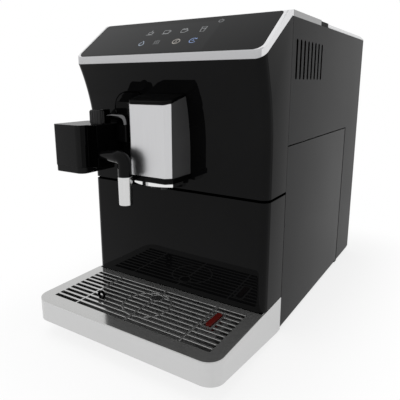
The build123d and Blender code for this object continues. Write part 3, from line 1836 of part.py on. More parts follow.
with BuildPart() as frother_base:
    block(
        frother_left_x + frother_base_inset,
        shoulder_x - frother_base_inset,
        frother_front_y + frother_base_inset,
        frother_rear_y - frother_base_inset,
        frother_low_z,
        frother_seam_z,
    )
    base_edge_radius = frother_edge_radius - frother_base_inset
    fillet(frother_base.edges().filter_by(Axis.Z).group_by(Axis.X)[0], base_edge_radius)
    right_uprights = frother_base.edges().filter_by(Axis.Z).group_by(Axis.X)[-1].sort_by(Axis.Y)
    fillet(right_uprights[-1], base_edge_radius)
    right_uprights = frother_base.edges().filter_by(Axis.Z).group_by(Axis.X)[-1].sort_by(Axis.Y)
    fillet(right_uprights[0], frother_nose_radius - frother_base_inset)
frother_base.part.label = "frother_base"
export_step(frother_base.part, "parts/frother_base.step")

with BuildPart() as foam_knob:
    post(knob_x, knob_y, frother_top_z + running_gap, frother_top_z + knob_tall, knob_radius)
    with Locations((knob_x, knob_y, frother_top_z + (running_gap + knob_tall) / 2)):
        with PolarLocations(knob_radius, knob_rib_count):
            Cylinder(knob_rib_radius, knob_tall - running_gap)
    post(knob_x, knob_y, frother_top_z - knob_stem_depth, frother_top_z + running_gap, knob_stem_radius)
foam_knob.part.label = "foam_knob"
export_step(foam_knob.part, "parts/foam_knob.step")

tube_z = frother_top_z + tube_rise
lug_top_z = tube_z - tube_lug_drop
with BuildPart() as steam_tube:
    with BuildLine(Plane.XZ.offset(-tower_y)) as tube_path:
        FilletPolyline(
            (tower_x, tube_z), (tube_end_x, tube_z), (tube_end_x, lug_top_z), radius=tube_bend_radius
        )
    with BuildSketch(Plane(origin=(tower_x, tower_y, tube_z), z_dir=(1, 0, 0))):
        Circle(tube_radius)
    sweep(path=tube_path.line)
    post(tower_x, tower_y, frother_top_z, frother_top_z + tower_tall, tower_radius, Mode.SUBTRACT)
steam_tube.part.label = "steam_tube"
export_step(steam_tube.part, "parts/steam_tube.step")

plug_front_y = front_y - plug_block_front_reach
plug_rear_y = front_y - plug_block_rear_reach
plug_low_z = split_z + plug_block_low_rise
with BuildPart() as steam_plug:
    block(
        -frother_right,
        -plug_block_right,
        plug_front_y,
        plug_rear_y,
        plug_low_z,
        plug_low_z + plug_block_tall,
    )
    block(
        tube_end_x - tube_lug_half_width,
        tube_end_x + tube_lug_half_width,
        tower_y - tube_lug_half_width,
        plug_front_y,
        plug_low_z,
        lug_top_z,
    )
    rod_y(port_x, port_z, plug_rear_y, front_y + plug_depth, plug_radius)
steam_plug.part.label = "steam_plug"
export_step(steam_plug.part, "parts/steam_plug.step")

# Milk elbow and the silver tube that the foam comes out of
elbow_y = front_y - elbow_reach
elbow_z = split_z + elbow_rise
elbow_low_z = split_z + elbow_low_rise
elbow_turn_x = nozzle_tube_x - elbow_bend_radius
arm_length = elbow_turn_x + frother_right
with BuildPart() as milk_elbow:
    with Locations((elbow_turn_x - arm_length / 2, elbow_y, elbow_z)):
        Cone(elbow_tip_radius, elbow_radius, arm_length, rotation=(0, 90, 0))
    with BuildSketch(Plane(origin=(elbow_turn_x, elbow_y, elbow_z), z_dir=(1, 0, 0))):
        Circle(elbow_radius)
    turn_axis = Axis((elbow_turn_x, elbow_y, elbow_z - elbow_bend_radius), (0, 1, 0))
    revolve(axis=turn_axis, revolution_arc=90)
    post(nozzle_tube_x, elbow_y, elbow_low_z, elbow_z - elbow_bend_radius, elbow_radius)
milk_elbow.part.label = "milk_elbow"
export_step(milk_elbow.part, "parts/milk_elbow.step")

with BuildPart() as milk_nozzle:
    nozzle_low_z = split_z - nozzle_tube_drop
    with Locations((nozzle_tube_x, elbow_y, (nozzle_low_z + elbow_low_z) / 2)):
        Cone(nozzle_tip_radius, nozzle_tube_radius, elbow_low_z - nozzle_low_z)
    post(nozzle_tube_x, elbow_y, nozzle_low_z, elbow_low_z, nozzle_tube_bore, Mode.SUBTRACT)
milk_nozzle.part.label = "milk_nozzle"
export_step(milk_nozzle.part, "parts/milk_nozzle.step")
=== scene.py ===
import json
from math import cos, pi, radians, sin

import bmesh
import bpy
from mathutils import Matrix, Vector


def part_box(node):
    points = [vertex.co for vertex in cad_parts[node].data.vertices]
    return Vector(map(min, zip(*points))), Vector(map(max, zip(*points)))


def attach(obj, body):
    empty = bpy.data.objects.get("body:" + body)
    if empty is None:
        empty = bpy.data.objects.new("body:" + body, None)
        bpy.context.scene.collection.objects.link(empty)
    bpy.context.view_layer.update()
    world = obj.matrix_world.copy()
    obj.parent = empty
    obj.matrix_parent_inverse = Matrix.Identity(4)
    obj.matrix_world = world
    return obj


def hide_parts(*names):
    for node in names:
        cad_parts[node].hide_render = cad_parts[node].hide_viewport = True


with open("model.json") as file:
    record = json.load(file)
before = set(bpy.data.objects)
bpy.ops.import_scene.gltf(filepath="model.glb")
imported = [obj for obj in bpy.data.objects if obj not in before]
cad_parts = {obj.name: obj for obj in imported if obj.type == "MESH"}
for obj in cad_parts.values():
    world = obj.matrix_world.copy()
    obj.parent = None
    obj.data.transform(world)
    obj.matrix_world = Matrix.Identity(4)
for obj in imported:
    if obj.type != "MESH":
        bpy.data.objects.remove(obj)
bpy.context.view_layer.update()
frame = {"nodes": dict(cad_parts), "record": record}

scene = bpy.context.scene
scene.view_settings.view_transform = "Standard"
bodyRows = frame["record"]["behaviour"]["bodies"]
bodyOf = {node: body for body, nodes in bodyRows.items() for node in nodes}
slotOf = {row["node"]: row["material_slot"] for row in frame["record"]["subparts"]}
print("frame loaded:", len(frame["nodes"]), "nodes")


class Wire:
    # an output socket, so that shader maths reads as plain sums
    def __init__(self, tree, socket):
        self.tree = tree
        self.socket = socket

    def node(self, kind, settings=None, inputs=None, output=0):
        made = self.tree.nodes.new(kind)
        for key, value in (settings or {}).items():
            setattr(made, key, value)
        for key, value in (inputs or {}).items():
            if isinstance(value, Wire):
                self.tree.links.new(value.socket, made.inputs[key])
            else:
                made.inputs[key].default_value = value
        return Wire(self.tree, made.outputs[output])

    def sums(self, operation, first, second):
        return self.node("ShaderNodeMath", {"operation": operation}, {0: first, 1: second})

    def __add__(self, other):
        return self.sums("ADD", self, other)

    __radd__ = __add__

    def __sub__(self, other):
        return self.sums("SUBTRACT", self, other)

    def __rsub__(self, other):
        return self.sums("SUBTRACT", other, self)

    def __mul__(self, other):
        return self.sums("MULTIPLY", self, other)

    __rmul__ = __mul__

    def __truediv__(self, other):
        return self.sums("DIVIDE", self, other)

    def __rtruediv__(self, other):
        return self.sums("DIVIDE", other, self)

    def __pow__(self, other):
        return self.sums("POWER", self, other)

    def __rpow__(self, other):
        return self.sums("POWER", other, self)


noiseMean = 0.5
mixSockets = {"share": 0, "low": 6, "high": 7, "result": 2}


def newFinish(name, fixed):
    # fixed holds the sockets that are the same all over the surface
    finish = bpy.data.materials.new(name)
    finish.use_nodes = True
    shader = finish.node_tree.nodes["Principled BSDF"]
    for key, value in fixed.items():
        shader.inputs[key].default_value = value
    place = finish.node_tree.nodes.new("ShaderNodeTexCoord")
    return finish, shader, Wire(finish.node_tree, place.outputs["Object"])


def feed(shader, socketName, wire):
    wire.tree.links.new(wire.socket, shader.inputs[socketName])


def noise(place, scale, detail=3.0, roughness=0.55, stretch=(1.0, 1.0, 1.0)):
    moved = place.node("ShaderNodeMapping", {}, {"Vector": place, "Scale": stretch})
    look = {"Vector": moved, "Scale": scale, "Detail": detail, "Roughness": roughness}
    return place.node("ShaderNodeTexNoise", {}, look)


def tint(mask, low, high):
    ends = {mixSockets["share"]: mask, mixSockets["low"]: (*low, 1.0), mixSockets["high"]: (*high, 1.0)}
    return mask.node("ShaderNodeMix", {"data_type": "RGBA"}, ends, mixSockets["result"])


def mixed(first, second, share):
    return first * share + second * (1 - share)


def between(low, high, share):
    return low + (high - low) * share


def around(wire, amount):
    # noise that swings to both sides of zero
    return (wire - noiseMean) * amount


def window(wire, low, high):
    # runs from 0 to 1 while the wire runs from low to high
    return wire.node(
        "ShaderNodeMapRange",
        {"clamp": True, "interpolation_type": "SMOOTHSTEP"},
        {"Value": wire, "From Min": low, "From Max": high},
    )


def bump(height, distance, strength):
    look = {"Height": height, "Distance": distance, "Strength": strength}
    return height.node("ShaderNodeBump", {}, look, "Normal")


polish = {
    "smudge": {"scale": 9.0, "detail": 4.0}, "smudgeFrom": 0.35, "smudgeTo": 0.75, "smudgeShare": 0.7,
    "wipe": {"scale": 60.0, "detail": 2.0, "stretch": (1.0, 1.0, 0.12)}, "wipeFrom": 0.45, "wipeTo": 0.8,
    "wave": {"scale": 30.0, "detail": 1.0}, "waveDepth": 0.00003, "waveStrength": 0.25,
}


def smudges(place):
    return window(noise(place, **polish["smudge"]), polish["smudgeFrom"], polish["smudgeTo"])


def glossPlastic(name, low, high, specular, roughLow, roughHigh):
    # moulded and polished, with faint wiping marks in the gloss
    finish, shader, place = newFinish(name, {"Specular IOR Level": specular})
    smudge = smudges(place)
    wipe = window(noise(place, **polish["wipe"]), polish["wipeFrom"], polish["wipeTo"])
    wave = noise(place, **polish["wave"])
    feed(shader, "Base Color", tint(smudge, low, high))
    feed(shader, "Roughness", between(roughLow, roughHigh, mixed(smudge, wipe, polish["smudgeShare"])))
    feed(shader, "Normal", bump(wave, polish["waveDepth"], polish["waveStrength"]))
    return finish


mould = {
    "broad": {"scale": 7.0}, "grain": {"detail": 2.0, "roughness": 0.6}, "broadShare": 0.6,
    "grainRough": 0.18, "broadRough": 0.08, "strength": 0.6,
}


def grainPlastic(name, low, high, specular, roughness, grainScale, grainDepth):
    # spark-eroded mould grain: fine pits, and a broad change of tone
    finish, shader, place = newFinish(name, {"Specular IOR Level": specular})
    broad = noise(place, **mould["broad"])
    grain = noise(place, grainScale, **mould["grain"])
    rough = roughness + around(grain, mould["grainRough"]) + around(broad, mould["broadRough"])
    feed(shader, "Base Color", tint(mixed(broad, grain, mould["broadShare"]), low, high))
    feed(shader, "Roughness", rough)
    feed(shader, "Normal", bump(grain, grainDepth, mould["strength"]))
    return finish


silverPaint = {
    "fixed": {"Metallic": 0.8, "Coat Roughness": 0.12, "Coat IOR": 1.45, "Coat Weight": 0.25},
    "flake": {"scale": 2600.0, "detail": 2.0, "roughness": 0.7}, "cloud": {"scale": 12.0}, "flakeShare": 0.6,
    "flakeRough": 0.14, "cloudRough": 0.05, "depth": 0.00001, "strength": 0.3,
}


def paintedSilver(name, low, high, roughness):
    # silver paint: fine metal flakes under a thin clear coat
    finish, shader, place = newFinish(name, silverPaint["fixed"])
    flake = noise(place, **silverPaint["flake"])
    cloud = noise(place, **silverPaint["cloud"])
    rough = roughness + around(flake, silverPaint["flakeRough"]) + around(cloud, silverPaint["cloudRough"])
    feed(shader, "Base Color", tint(mixed(flake, cloud, silverPaint["flakeShare"]), low, high))
    feed(shader, "Roughness", rough)
    feed(shader, "Normal", bump(flake, silverPaint["depth"], silverPaint["strength"]))
    return finish


brushing = {
    "streak": {"detail": 4.0, "roughness": 0.65}, "cloud": {"scale": 14.0},
    "toneShare": 0.65, "roughShare": 0.7, "depth": 0.000008,
}


def brushedMetal(name, low, high, roughLow, roughHigh, stretch, streakScale=420.0, metallic=1.0, grain=0.4):
    # drawn or brushed metal: streaks along the axis that the stretch makes small
    finish, shader, place = newFinish(name, {"Metallic": metallic})
    streak = noise(place, streakScale, stretch=stretch, **brushing["streak"])
    cloud = noise(place, **brushing["cloud"])
    feed(shader, "Base Color", tint(mixed(streak, cloud, brushing["toneShare"]), low, high))
    feed(shader, "Roughness", between(roughLow, roughHigh, mixed(streak, cloud, brushing["roughShare"])))
    feed(shader, "Normal", bump(streak, brushing["depth"], grain))
    return finish


clearMoulding = {
    "fixed": {"IOR": 1.49}, "flow": {"scale": 18.0, "stretch": (1.0, 1.0, 0.3)},
    "haze": {"scale": 45.0, "detail": 4.0}, "hazeFrom": 0.4, "hazeTo": 0.8, "hazeShare": 0.6,
}


def clearPlastic(name, low, high, transmission, roughLow, roughHigh):
    # see-through moulding: flow marks in the gloss, a little deeper tone in places
    finish, shader, place = newFinish(name, {"Transmission Weight": transmission, **clearMoulding["fixed"]})
    flow = noise(place, **clearMoulding["flow"])
    haze = window(noise(place, **clearMoulding["haze"]), clearMoulding["hazeFrom"], clearMoulding["hazeTo"])
    feed(shader, "Base Color", tint(flow, low, high))
    feed(shader, "Roughness", between(roughLow, roughHigh, mixed(haze, flow, clearMoulding["hazeShare"])))
    return finish


casting = {
    "fixed": {"Metallic": 0.9}, "pits": {"scale": 700.0, "detail": 4.0, "roughness": 0.7},
    "cloud": {"scale": 16.0}, "low": (0.33, 0.32, 0.31), "high": (0.52, 0.52, 0.51),
    "rough": 0.42, "pitRough": 0.3, "depth": 0.00012, "strength": 0.8,
}
rubber = {
    "fixed": {"Specular IOR Level": 0.25}, "pits": {"scale": 900.0, "roughness": 0.7},
    "cloud": {"scale": 25.0, "detail": 4.0}, "low": (0.012, 0.012, 0.012), "high": (0.026, 0.026, 0.025),
    "rough": 0.72, "pitRough": 0.2, "depth": 0.00008, "strength": 0.7,
}


def pittedFinish(name, look):
    # fine pits in the surface, and a broad change of tone from heat or dust
    finish, shader, place = newFinish(name, look["fixed"])
    pits = noise(place, **look["pits"])
    feed(shader, "Base Color", tint(noise(place, **look["cloud"]), look["low"], look["high"]))
    feed(shader, "Roughness", look["rough"] + pits * look["pitRough"])
    feed(shader, "Normal", bump(pits, look["depth"], look["strength"]))
    return finish


board = {
    "fixed": {"Specular IOR Level": 0.5}, "cellScale": 150.0, "runFrom": 0.03, "runTo": 0.06,
    "cloud": {"scale": 30.0}, "low": (0.012, 0.085, 0.035), "high": (0.03, 0.17, 0.075),
    "rough": 0.34, "cloudRough": 0.2, "runRough": 0.08, "depth": 0.00004, "strength": 0.6,
}


def circuitBoard(name):
    # solder mask over copper runs
    finish, shader, place = newFinish(name, board["fixed"])
    cells = place.node(
        "ShaderNodeTexVoronoi", {"feature": "DISTANCE_TO_EDGE", "distance": "EUCLIDEAN"},
        {"Vector": place, "Scale": board["cellScale"]},
    )
    runs = 1 - window(cells, board["runFrom"], board["runTo"])
    cloud = noise(place, **board["cloud"])
    feed(shader, "Base Color", tint(runs, board["low"], board["high"]))
    feed(shader, "Roughness", board["rough"] + cloud * board["cloudRough"] - runs * board["runRough"])
    feed(shader, "Normal", bump(runs, board["depth"], board["strength"]))
    return finish


glassUp = (0.0, 0.8041, 0.5945)
glassOut = (0.0, -0.5945, 0.8041)
displayField = {
    "start": 0.06786, "right": 0.051, "low": 0.004, "high": 0.059, "soft": 0.0008, "fieldShare": 0.85,
    "dark": (0.0030, 0.0031, 0.0034), "light": (0.0085, 0.0088, 0.0094), "specular": 0.07,
    "rough": 0.03, "smudgeRough": 0.05,
}


def panelGlassFinish(name, field):
    # black glass with a slightly lighter display field behind part of it
    finish, shader, place = newFinish(name, {"Specular IOR Level": field["specular"]})
    across = place.node("ShaderNodeSeparateXYZ", {}, {"Vector": place}, "X")
    rise = place.node("ShaderNodeVectorMath", {"operation": "DOT_PRODUCT"}, {0: place, 1: glassUp}, "Value")
    rise = rise - field["start"]
    inside = 1 - window(across, field["right"], field["right"] + field["soft"])
    inside = inside * window(rise, field["low"], field["low"] + field["soft"])
    inside = inside * (1 - window(rise, field["high"] - field["soft"], field["high"]))
    smudge = smudges(place)
    lightness = mixed(inside, smudge, field["fieldShare"])
    feed(shader, "Base Color", tint(lightness, field["dark"], field["light"]))
    feed(shader, "Roughness", field["rough"] + smudge * field["smudgeRough"])
    return finish


signGlow = {
    "fixed": {"Roughness": 0.4}, "glow": {"scale": 260.0, "detail": 2.0},
    "baseLow": 0.05, "baseHigh": 0.08, "glowLow": 0.75,
}


def dimmed(colour, share):
    return tuple(share * part for part in colour)


def lightSign(name, colour, strength):
    # printed sign lit from behind, a little uneven as such signs are
    finish, shader, place = newFinish(name, {"Emission Strength": strength, **signGlow["fixed"]})
    glow = noise(place, **signGlow["glow"])
    baseLow = dimmed(colour, signGlow["baseLow"])
    baseHigh = dimmed(colour, signGlow["baseHigh"])
    feed(shader, "Base Color", tint(glow, baseLow, baseHigh))
    feed(shader, "Emission Color", tint(glow, dimmed(colour, signGlow["glowLow"]), colour))
    return finish


finishes = {
    "front_black": glossPlastic(
        "glossBlack", low=(0.0022, 0.0022, 0.0024), high=(0.0034, 0.0034, 0.0036),
        specular=0.085, roughLow=0.012, roughHigh=0.035,
    ),
    "panel_glass": panelGlassFinish("panelGlass", displayField),
    "trim_silver": paintedSilver(
        "trimSilver", low=(0.69, 0.69, 0.70), high=(0.82, 0.82, 0.83), roughness=0.34
    ),
    "side_grey": grainPlastic(
        "sideGrey", low=(0.009, 0.009, 0.0093), high=(0.013, 0.013, 0.0133),
        specular=0.035, roughness=0.32, grainScale=1400.0, grainDepth=0.00004,
    ),
    "soft_black": grainPlastic(
        "softBlack", low=(0.006, 0.006, 0.0063), high=(0.010, 0.010, 0.0104),
        specular=0.3, roughness=0.4, grainScale=1500.0, grainDepth=0.00005,
    ),
    "lid_clear": clearPlastic(
        "smokedLid", low=(0.03, 0.03, 0.032), high=(0.06, 0.06, 0.063),
        transmission=0.55, roughLow=0.06, roughHigh=0.16,
    ),
    "tray_silver": paintedSilver(
        "traySilver", low=(0.54, 0.54, 0.54), high=(0.66, 0.66, 0.66), roughness=0.36
    ),
    "grille_steel": brushedMetal(
        "grilleSteel", low=(0.46, 0.46, 0.455), high=(0.54, 0.54, 0.535), roughLow=0.09, roughHigh=0.14,
        stretch=(0.03, 1.0, 1.0), metallic=0.86, grain=0.02,
    ),
    "float_red": grainPlastic(
        "floatRed", low=(0.062, 0.0048, 0.0036), high=(0.090, 0.0064, 0.0048),
        specular=0.2, roughness=0.35, grainScale=900.0, grainDepth=0.00003,
    ),
    "foot_rubber": pittedFinish("footRubber", rubber),
    "base_black": grainPlastic(
        "baseBlack", low=(0.010, 0.010, 0.010), high=(0.016, 0.016, 0.016),
        specular=0.3, roughness=0.5, grainScale=1100.0, grainDepth=0.00008,
    ),
    "screw_steel": brushedMetal(
        "screwSteel", low=(0.30, 0.30, 0.31), high=(0.45, 0.45, 0.46), roughLow=0.28, roughHigh=0.45,
        stretch=(1.0, 0.2, 1.0), streakScale=900.0,
    ),
    "socket_black": grainPlastic(
        "socketBlack", low=(0.008, 0.008, 0.008), high=(0.013, 0.013, 0.013),
        specular=0.4, roughness=0.34, grainScale=1600.0, grainDepth=0.00004,
    ),
    "spout_silver": brushedMetal(
        "spoutSilver", low=(0.56, 0.56, 0.57), high=(0.64, 0.64, 0.65), roughLow=0.26, roughHigh=0.36,
        stretch=(1.0, 1.0, 0.04), streakScale=600.0,
    ),
    "spout_chrome": brushedMetal(
        "spoutChrome", low=(0.74, 0.74, 0.74), high=(0.82, 0.82, 0.82), roughLow=0.03, roughHigh=0.09,
        stretch=(1.0, 1.0, 1.0), streakScale=120.0,
    ),
    "nozzle_steel": brushedMetal(
        "nozzleSteel", low=(0.58, 0.58, 0.58), high=(0.70, 0.70, 0.70), roughLow=0.16, roughHigh=0.28,
        stretch=(1.0, 1.0, 0.05), streakScale=500.0,
    ),
    "tank_clear": clearPlastic(
        "tankClear", low=(0.70, 0.77, 0.80), high=(0.82, 0.87, 0.89),
        transmission=0.92, roughLow=0.05, roughHigh=0.16,
    ),
    "hopper_smoke": clearPlastic(
        "hopperSmoke", low=(0.22, 0.22, 0.23), high=(0.32, 0.32, 0.33),
        transmission=0.8, roughLow=0.07, roughHigh=0.18,
    ),
    "inner_grey": grainPlastic(
        "innerGrey", low=(0.13, 0.13, 0.13), high=(0.20, 0.20, 0.20),
        specular=0.4, roughness=0.5, grainScale=900.0, grainDepth=0.00008,
    ),
    "inner_steel": brushedMetal(
        "innerSteel", low=(0.36, 0.36, 0.37), high=(0.50, 0.50, 0.51), roughLow=0.25, roughHigh=0.42,
        stretch=(1.0, 1.0, 0.08),
    ),
    "boiler_metal": pittedFinish("boilerCasting", casting),
    "board_green": circuitBoard("boardGreen"),
    "burr_steel": brushedMetal(
        "burrSteel", low=(0.32, 0.32, 0.33), high=(0.46, 0.46, 0.47), roughLow=0.22, roughHigh=0.4,
        stretch=(1.0, 1.0, 0.3), streakScale=700.0,
    ),
    "frameSilver": paintedSilver(
        "frameSilver", low=(0.27, 0.27, 0.27), high=(0.335, 0.335, 0.34), roughness=0.38
    ),
    "rimSilver": paintedSilver(
        "rimSilver", low=(0.52, 0.52, 0.53), high=(0.62, 0.62, 0.63), roughness=0.34
    ),
    # the trim's silver paint made darker for its front lip: painted shade
    "shadedLipSilver": paintedSilver(
        "shadedLipSilver", low=(0.42, 0.42, 0.43), high=(0.52, 0.52, 0.53), roughness=0.36
    ),
    # dark grey painted shade under the grille, in the tray's basin and on the float's lower part
    "basinShadeBlack": grainPlastic(
        "basinShadeBlack", low=(0.080, 0.080, 0.080), high=(0.105, 0.105, 0.105),
        specular=0.3, roughness=0.36, grainScale=1200.0, grainDepth=0.00005,
    ),
    "spoutBlack": glossPlastic(
        "spoutBlack", low=(0.054, 0.054, 0.055), high=(0.066, 0.066, 0.067),
        specular=0.1, roughLow=0.12, roughHigh=0.2,
    ),
    "deepBlack": glossPlastic(
        "deepBlack", low=(0.0012, 0.0012, 0.0013), high=(0.0018, 0.0018, 0.0019),
        specular=0.06, roughLow=0.06, roughHigh=0.12,
    ),
    "boxBlack": grainPlastic(
        "boxBlack", low=(0.0035, 0.0035, 0.0037), high=(0.0055, 0.0055, 0.0057),
        specular=0.1, roughness=0.28, grainScale=1500.0, grainDepth=0.00003,
    ),
    "flankBlack": glossPlastic(
        "flankBlack", low=(0.0022, 0.0022, 0.0024), high=(0.0034, 0.0034, 0.0036),
        specular=0.04, roughLow=0.06, roughHigh=0.13,
    ),
    # near-black painted shade for gaps, seams, steps and hollows
    "paintedGapShade": grainPlastic(
        "paintedGapShade", low=(0.0004, 0.0004, 0.0004), high=(0.0008, 0.0008, 0.0008),
        specular=0.0, roughness=0.9, grainScale=1100.0, grainDepth=0.00004,
    ),
    "gripBlack": grainPlastic(
        "gripBlack", low=(0.003, 0.003, 0.003), high=(0.005, 0.005, 0.005),
        specular=0.1, roughness=0.6, grainScale=1100.0, grainDepth=0.00006,
    ),
    "tubeChrome": brushedMetal(
        "tubeChrome", low=(0.09, 0.09, 0.093), high=(0.13, 0.13, 0.133), roughLow=0.08, roughHigh=0.16,
        stretch=(1.0, 1.0, 1.0), streakScale=150.0,
    ),
}
print("finishes made:", len(finishes))

welding = {"reach": 0.000002, "flatAngle": radians(0.6)}


def mergedForm(node):
    # a welded copy of a node's loose triangles, with flat areas as whole faces
    source = frame["nodes"][node].data
    form = bmesh.new()
    corners = [form.verts.new(corner.co) for corner in source.vertices]
    for face in source.polygons:
        form.faces.new([corners[index] for index in face.vertices])
    bmesh.ops.remove_doubles(form, verts=form.verts, dist=welding["reach"])
    bmesh.ops.dissolve_limit(form, angle_limit=welding["flatAngle"], verts=form.verts, edges=form.edges)
    return form


def asPiece(name, mesh, body):
    # places a finished mesh in the frame, riding on its body
    piece = bpy.data.objects.new(name, mesh)
    scene.collection.objects.link(piece)
    for face in mesh.polygons:
        face.use_smooth = True
    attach(piece, body)
    return piece


def softenEdges(piece, width, segments, angle):
    edges = piece.modifiers.new("edges", "BEVEL")
    edges.limit_method = "ANGLE"
    edges.angle_limit = radians(angle)
    edges.width = width
    edges.segments = segments
    edges.harden_normals = True


floatX = sum(corner.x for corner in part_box("water_level_float")) / 2
rimLook = {"topReach": 0.0001, "sharpFrom": 1.0, "straightFrom": 0.9}


def rimChains(form, clearOfFloat):
    # the upper rims of the grille's slots as lines of points, parted at the slots' corners
    topZ = max(corner.co.z for corner in form.verts) - rimLook["topReach"]
    left = {
        edge for edge in form.edges
        if min(corner.co.z for corner in edge.verts) > topZ
        and edge.calc_face_angle(0.0) > rimLook["sharpFrom"]
        and max(abs(corner.co.x - floatX) for corner in edge.verts) > clearOfFloat
    }
    rims = frozenset(left)

    def onward(edge, corner):
        others = [other for other in corner.link_edges if other in rims and other is not edge]
        if len(others) != 1 or others[0] not in left:
            return None
        before = (corner.co - edge.other_vert(corner).co).normalized()
        after = (others[0].other_vert(corner).co - corner.co).normalized()
        return others[0] if before.dot(after) > rimLook["straightFrom"] else None

    for seed in sorted(left, key=lambda edge: edge.index):
        if seed not in left:
            continue
        left.discard(seed)
        chain = list(seed.verts)
        wall = min(seed.link_faces, key=lambda face: abs(face.normal.z))
        along = chain[1].co - chain[0].co
        side = 1 if along.cross(wall.normal).z > 0 else -1
        for end in (1, 0):
            edge = seed
            while True:
                corner = chain[-1] if end else chain[0]
                edge = onward(edge, corner)
                if edge is None:
                    break
                left.discard(edge)
                chain.insert(len(chain) if end else 0, edge.other_vert(corner))
        closed = chain[0] is chain[-1]
        yield [corner.co.copy() for corner in (chain[:-1] if closed else chain)], side, closed


def trimmed(points, amount):
    # the line without its first stretch
    points = list(points)
    while len(points) > 1 and (points[1] - points[0]).length <= amount:
        amount -= (points[1] - points[0]).length
        points.pop(0)
    if len(points) > 1:
        points[0] = points[0] + (points[1] - points[0]).normalized() * amount
    return points


def sweepAlong(cutter, points, side, closed, section):
    # adds a bar with this section along a line of points
    rings = []
    for number, point in enumerate(points):
        ways = []
        if closed or number > 0:
            ways.append((point - points[number - 1]).normalized())
        if closed or number < len(points) - 1:
            ways.append((points[(number + 1) % len(points)] - point).normalized())
        outs = [Vector((-way.y, way.x, 0)) * side for way in ways]
        out = (outs[0] + outs[-1]) / (1 + outs[0].dot(outs[-1]))
        places = [point + out * across + Vector((0, 0, rise)) for across, rise in section]
        rings.append([cutter.verts.new(place) for place in places])
    for number, ring in enumerate(rings if closed else rings[:-1]):
        after = rings[(number + 1) % len(rings)]
        for place in range(len(section)):
            following = (place + 1) % len(section)
            cutter.faces.new((ring[place], ring[following], after[following], after[place]))
    if not closed:
        cutter.faces.new(rings[0])
        cutter.faces.new(rings[-1][::-1])


def cutAway(form, cutter):
    # the form less the cutter, as a new form
    tools = []
    for name, source in (("uncut", form), ("cutter", cutter)):
        mesh = bpy.data.meshes.new(name)
        source.to_mesh(mesh)
        source.free()
        tools.append(bpy.data.objects.new(name, mesh))
        scene.collection.objects.link(tools[-1])
    cut = tools[0].modifiers.new("cut", "BOOLEAN")
    cut.operation = "DIFFERENCE"
    cut.solver = "EXACT"
    cut.use_self = True
    cut.object = tools[1]
    ready = tools[0].evaluated_get(bpy.context.evaluated_depsgraph_get())
    mesh = bpy.data.meshes.new_from_object(ready)
    result = bmesh.new()
    result.from_mesh(mesh)
    for tool in tools:
        spent = tool.data
        bpy.data.objects.remove(tool)
        bpy.data.meshes.remove(spent)
    bpy.data.meshes.remove(mesh)
    return result


def roundRims(form, look):
    # cuts a quarter round along each rim, stopping just before the slot's corners
    radius, spare, steps = look["rimRound"], look["rimSpare"], look["rimSteps"]
    turns = [radians(90 * step / steps) for step in range(steps + 1)]
    section = [(radius * (sin(turn) - 1), radius * (cos(turn) - 1)) for turn in turns]
    section += [(spare, -radius), (spare, spare), (-radius, spare)]
    form.normal_update()
    form.edges.index_update()
    cutter = bmesh.new()
    for points, side, closed in rimChains(form, look["keepClear"]):
        if not closed:
            points = trimmed(trimmed(points, look["rimEnd"])[::-1], look["rimEnd"])[::-1]
        if len(points) > 1:
            sweepAlong(cutter, points, side, closed, section)
    bmesh.ops.recalc_face_normals(cutter, faces=cutter.faces)
    return cutAway(form, cutter)


dressing = {
    "lowReach": 0.0001, "roundSteps": 5, "roundProfile": 0.5,
    "frontFrom": 0.8, "shadeRingIndex": 1, "flatFrom": 0.9995, "angle": 38,
}


def roundBelow(form, radius):
    lowest = min(corner.co.z for corner in form.verts)
    lowTop = lowest + dressing["lowReach"]
    rim = [edge for edge in form.edges if max(corner.co.z for corner in edge.verts) < lowTop]
    steps, profile = dressing["roundSteps"], dressing["roundProfile"]
    bmesh.ops.bevel(form, geom=rim, offset=radius, segments=steps, profile=profile, affect="EDGES")


def shadeRingFront(form, width):
    # paints a narrow ring of shade around the front faces
    form.normal_update()
    fronts = [face for face in form.faces if face.normal.y < -dressing["frontFrom"]]
    ringOfShade = bmesh.ops.inset_region(form, faces=fronts, thickness=width, use_even_offset=True)
    for face in ringOfShade["faces"]:
        face.material_index = dressing["shadeRingIndex"]


def dressed(node, look):
    # the node's own shape with the edges that its mould or press leaves
    form = mergedForm(node)
    if "rimRound" in look:
        form = roundRims(form, look)
    if "lowRound" in look:
        roundBelow(form, look["lowRound"])
    if "shadeRingWidth" in look:
        shadeRingFront(form, look["shadeRingWidth"])
    mesh = bpy.data.meshes.new(look["name"])
    form.to_mesh(mesh)
    form.free()
    mesh.materials.append(finishes[look.get("finish", slotOf[node])])
    if "shadeRingWidth" in look:
        mesh.materials.append(finishes["paintedGapShade"])
    for number, (finish, test) in enumerate(look.get("areas", []), 1):
        mesh.materials.append(finishes[finish])
        for face in mesh.polygons:
            if test(face):
                face.material_index = number
    piece = asPiece(look["name"], mesh, bodyOf[node])
    if "rimRound" in look or "lowRound" in look:
        for face in mesh.polygons:
            face.use_smooth = max(abs(part) for part in face.normal) < dressing["flatFrom"]
    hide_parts(node)
    softenEdges(piece, look["edge"], look["segments"], dressing["angle"])
    return piece


facing = {"flank": 0.97, "seam": 0.5, "lip": 0.75, "side": 0.7, "step": 0.2}
spliceTall = 0.0105
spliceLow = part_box("lower_fascia")[1].z - spliceTall


def onSplice(face):
    # the matt step behind the gap between the two front shells, painted black as shade
    return all(face.id_data.vertices[index].co.z > spliceLow for index in face.vertices)


def onFlank(face):
    return abs(face.normal.x) > facing["flank"]


# the trim's forward faces, which take the darker painted shade
def onLip(face):
    return face.normal.y < -facing["lip"]


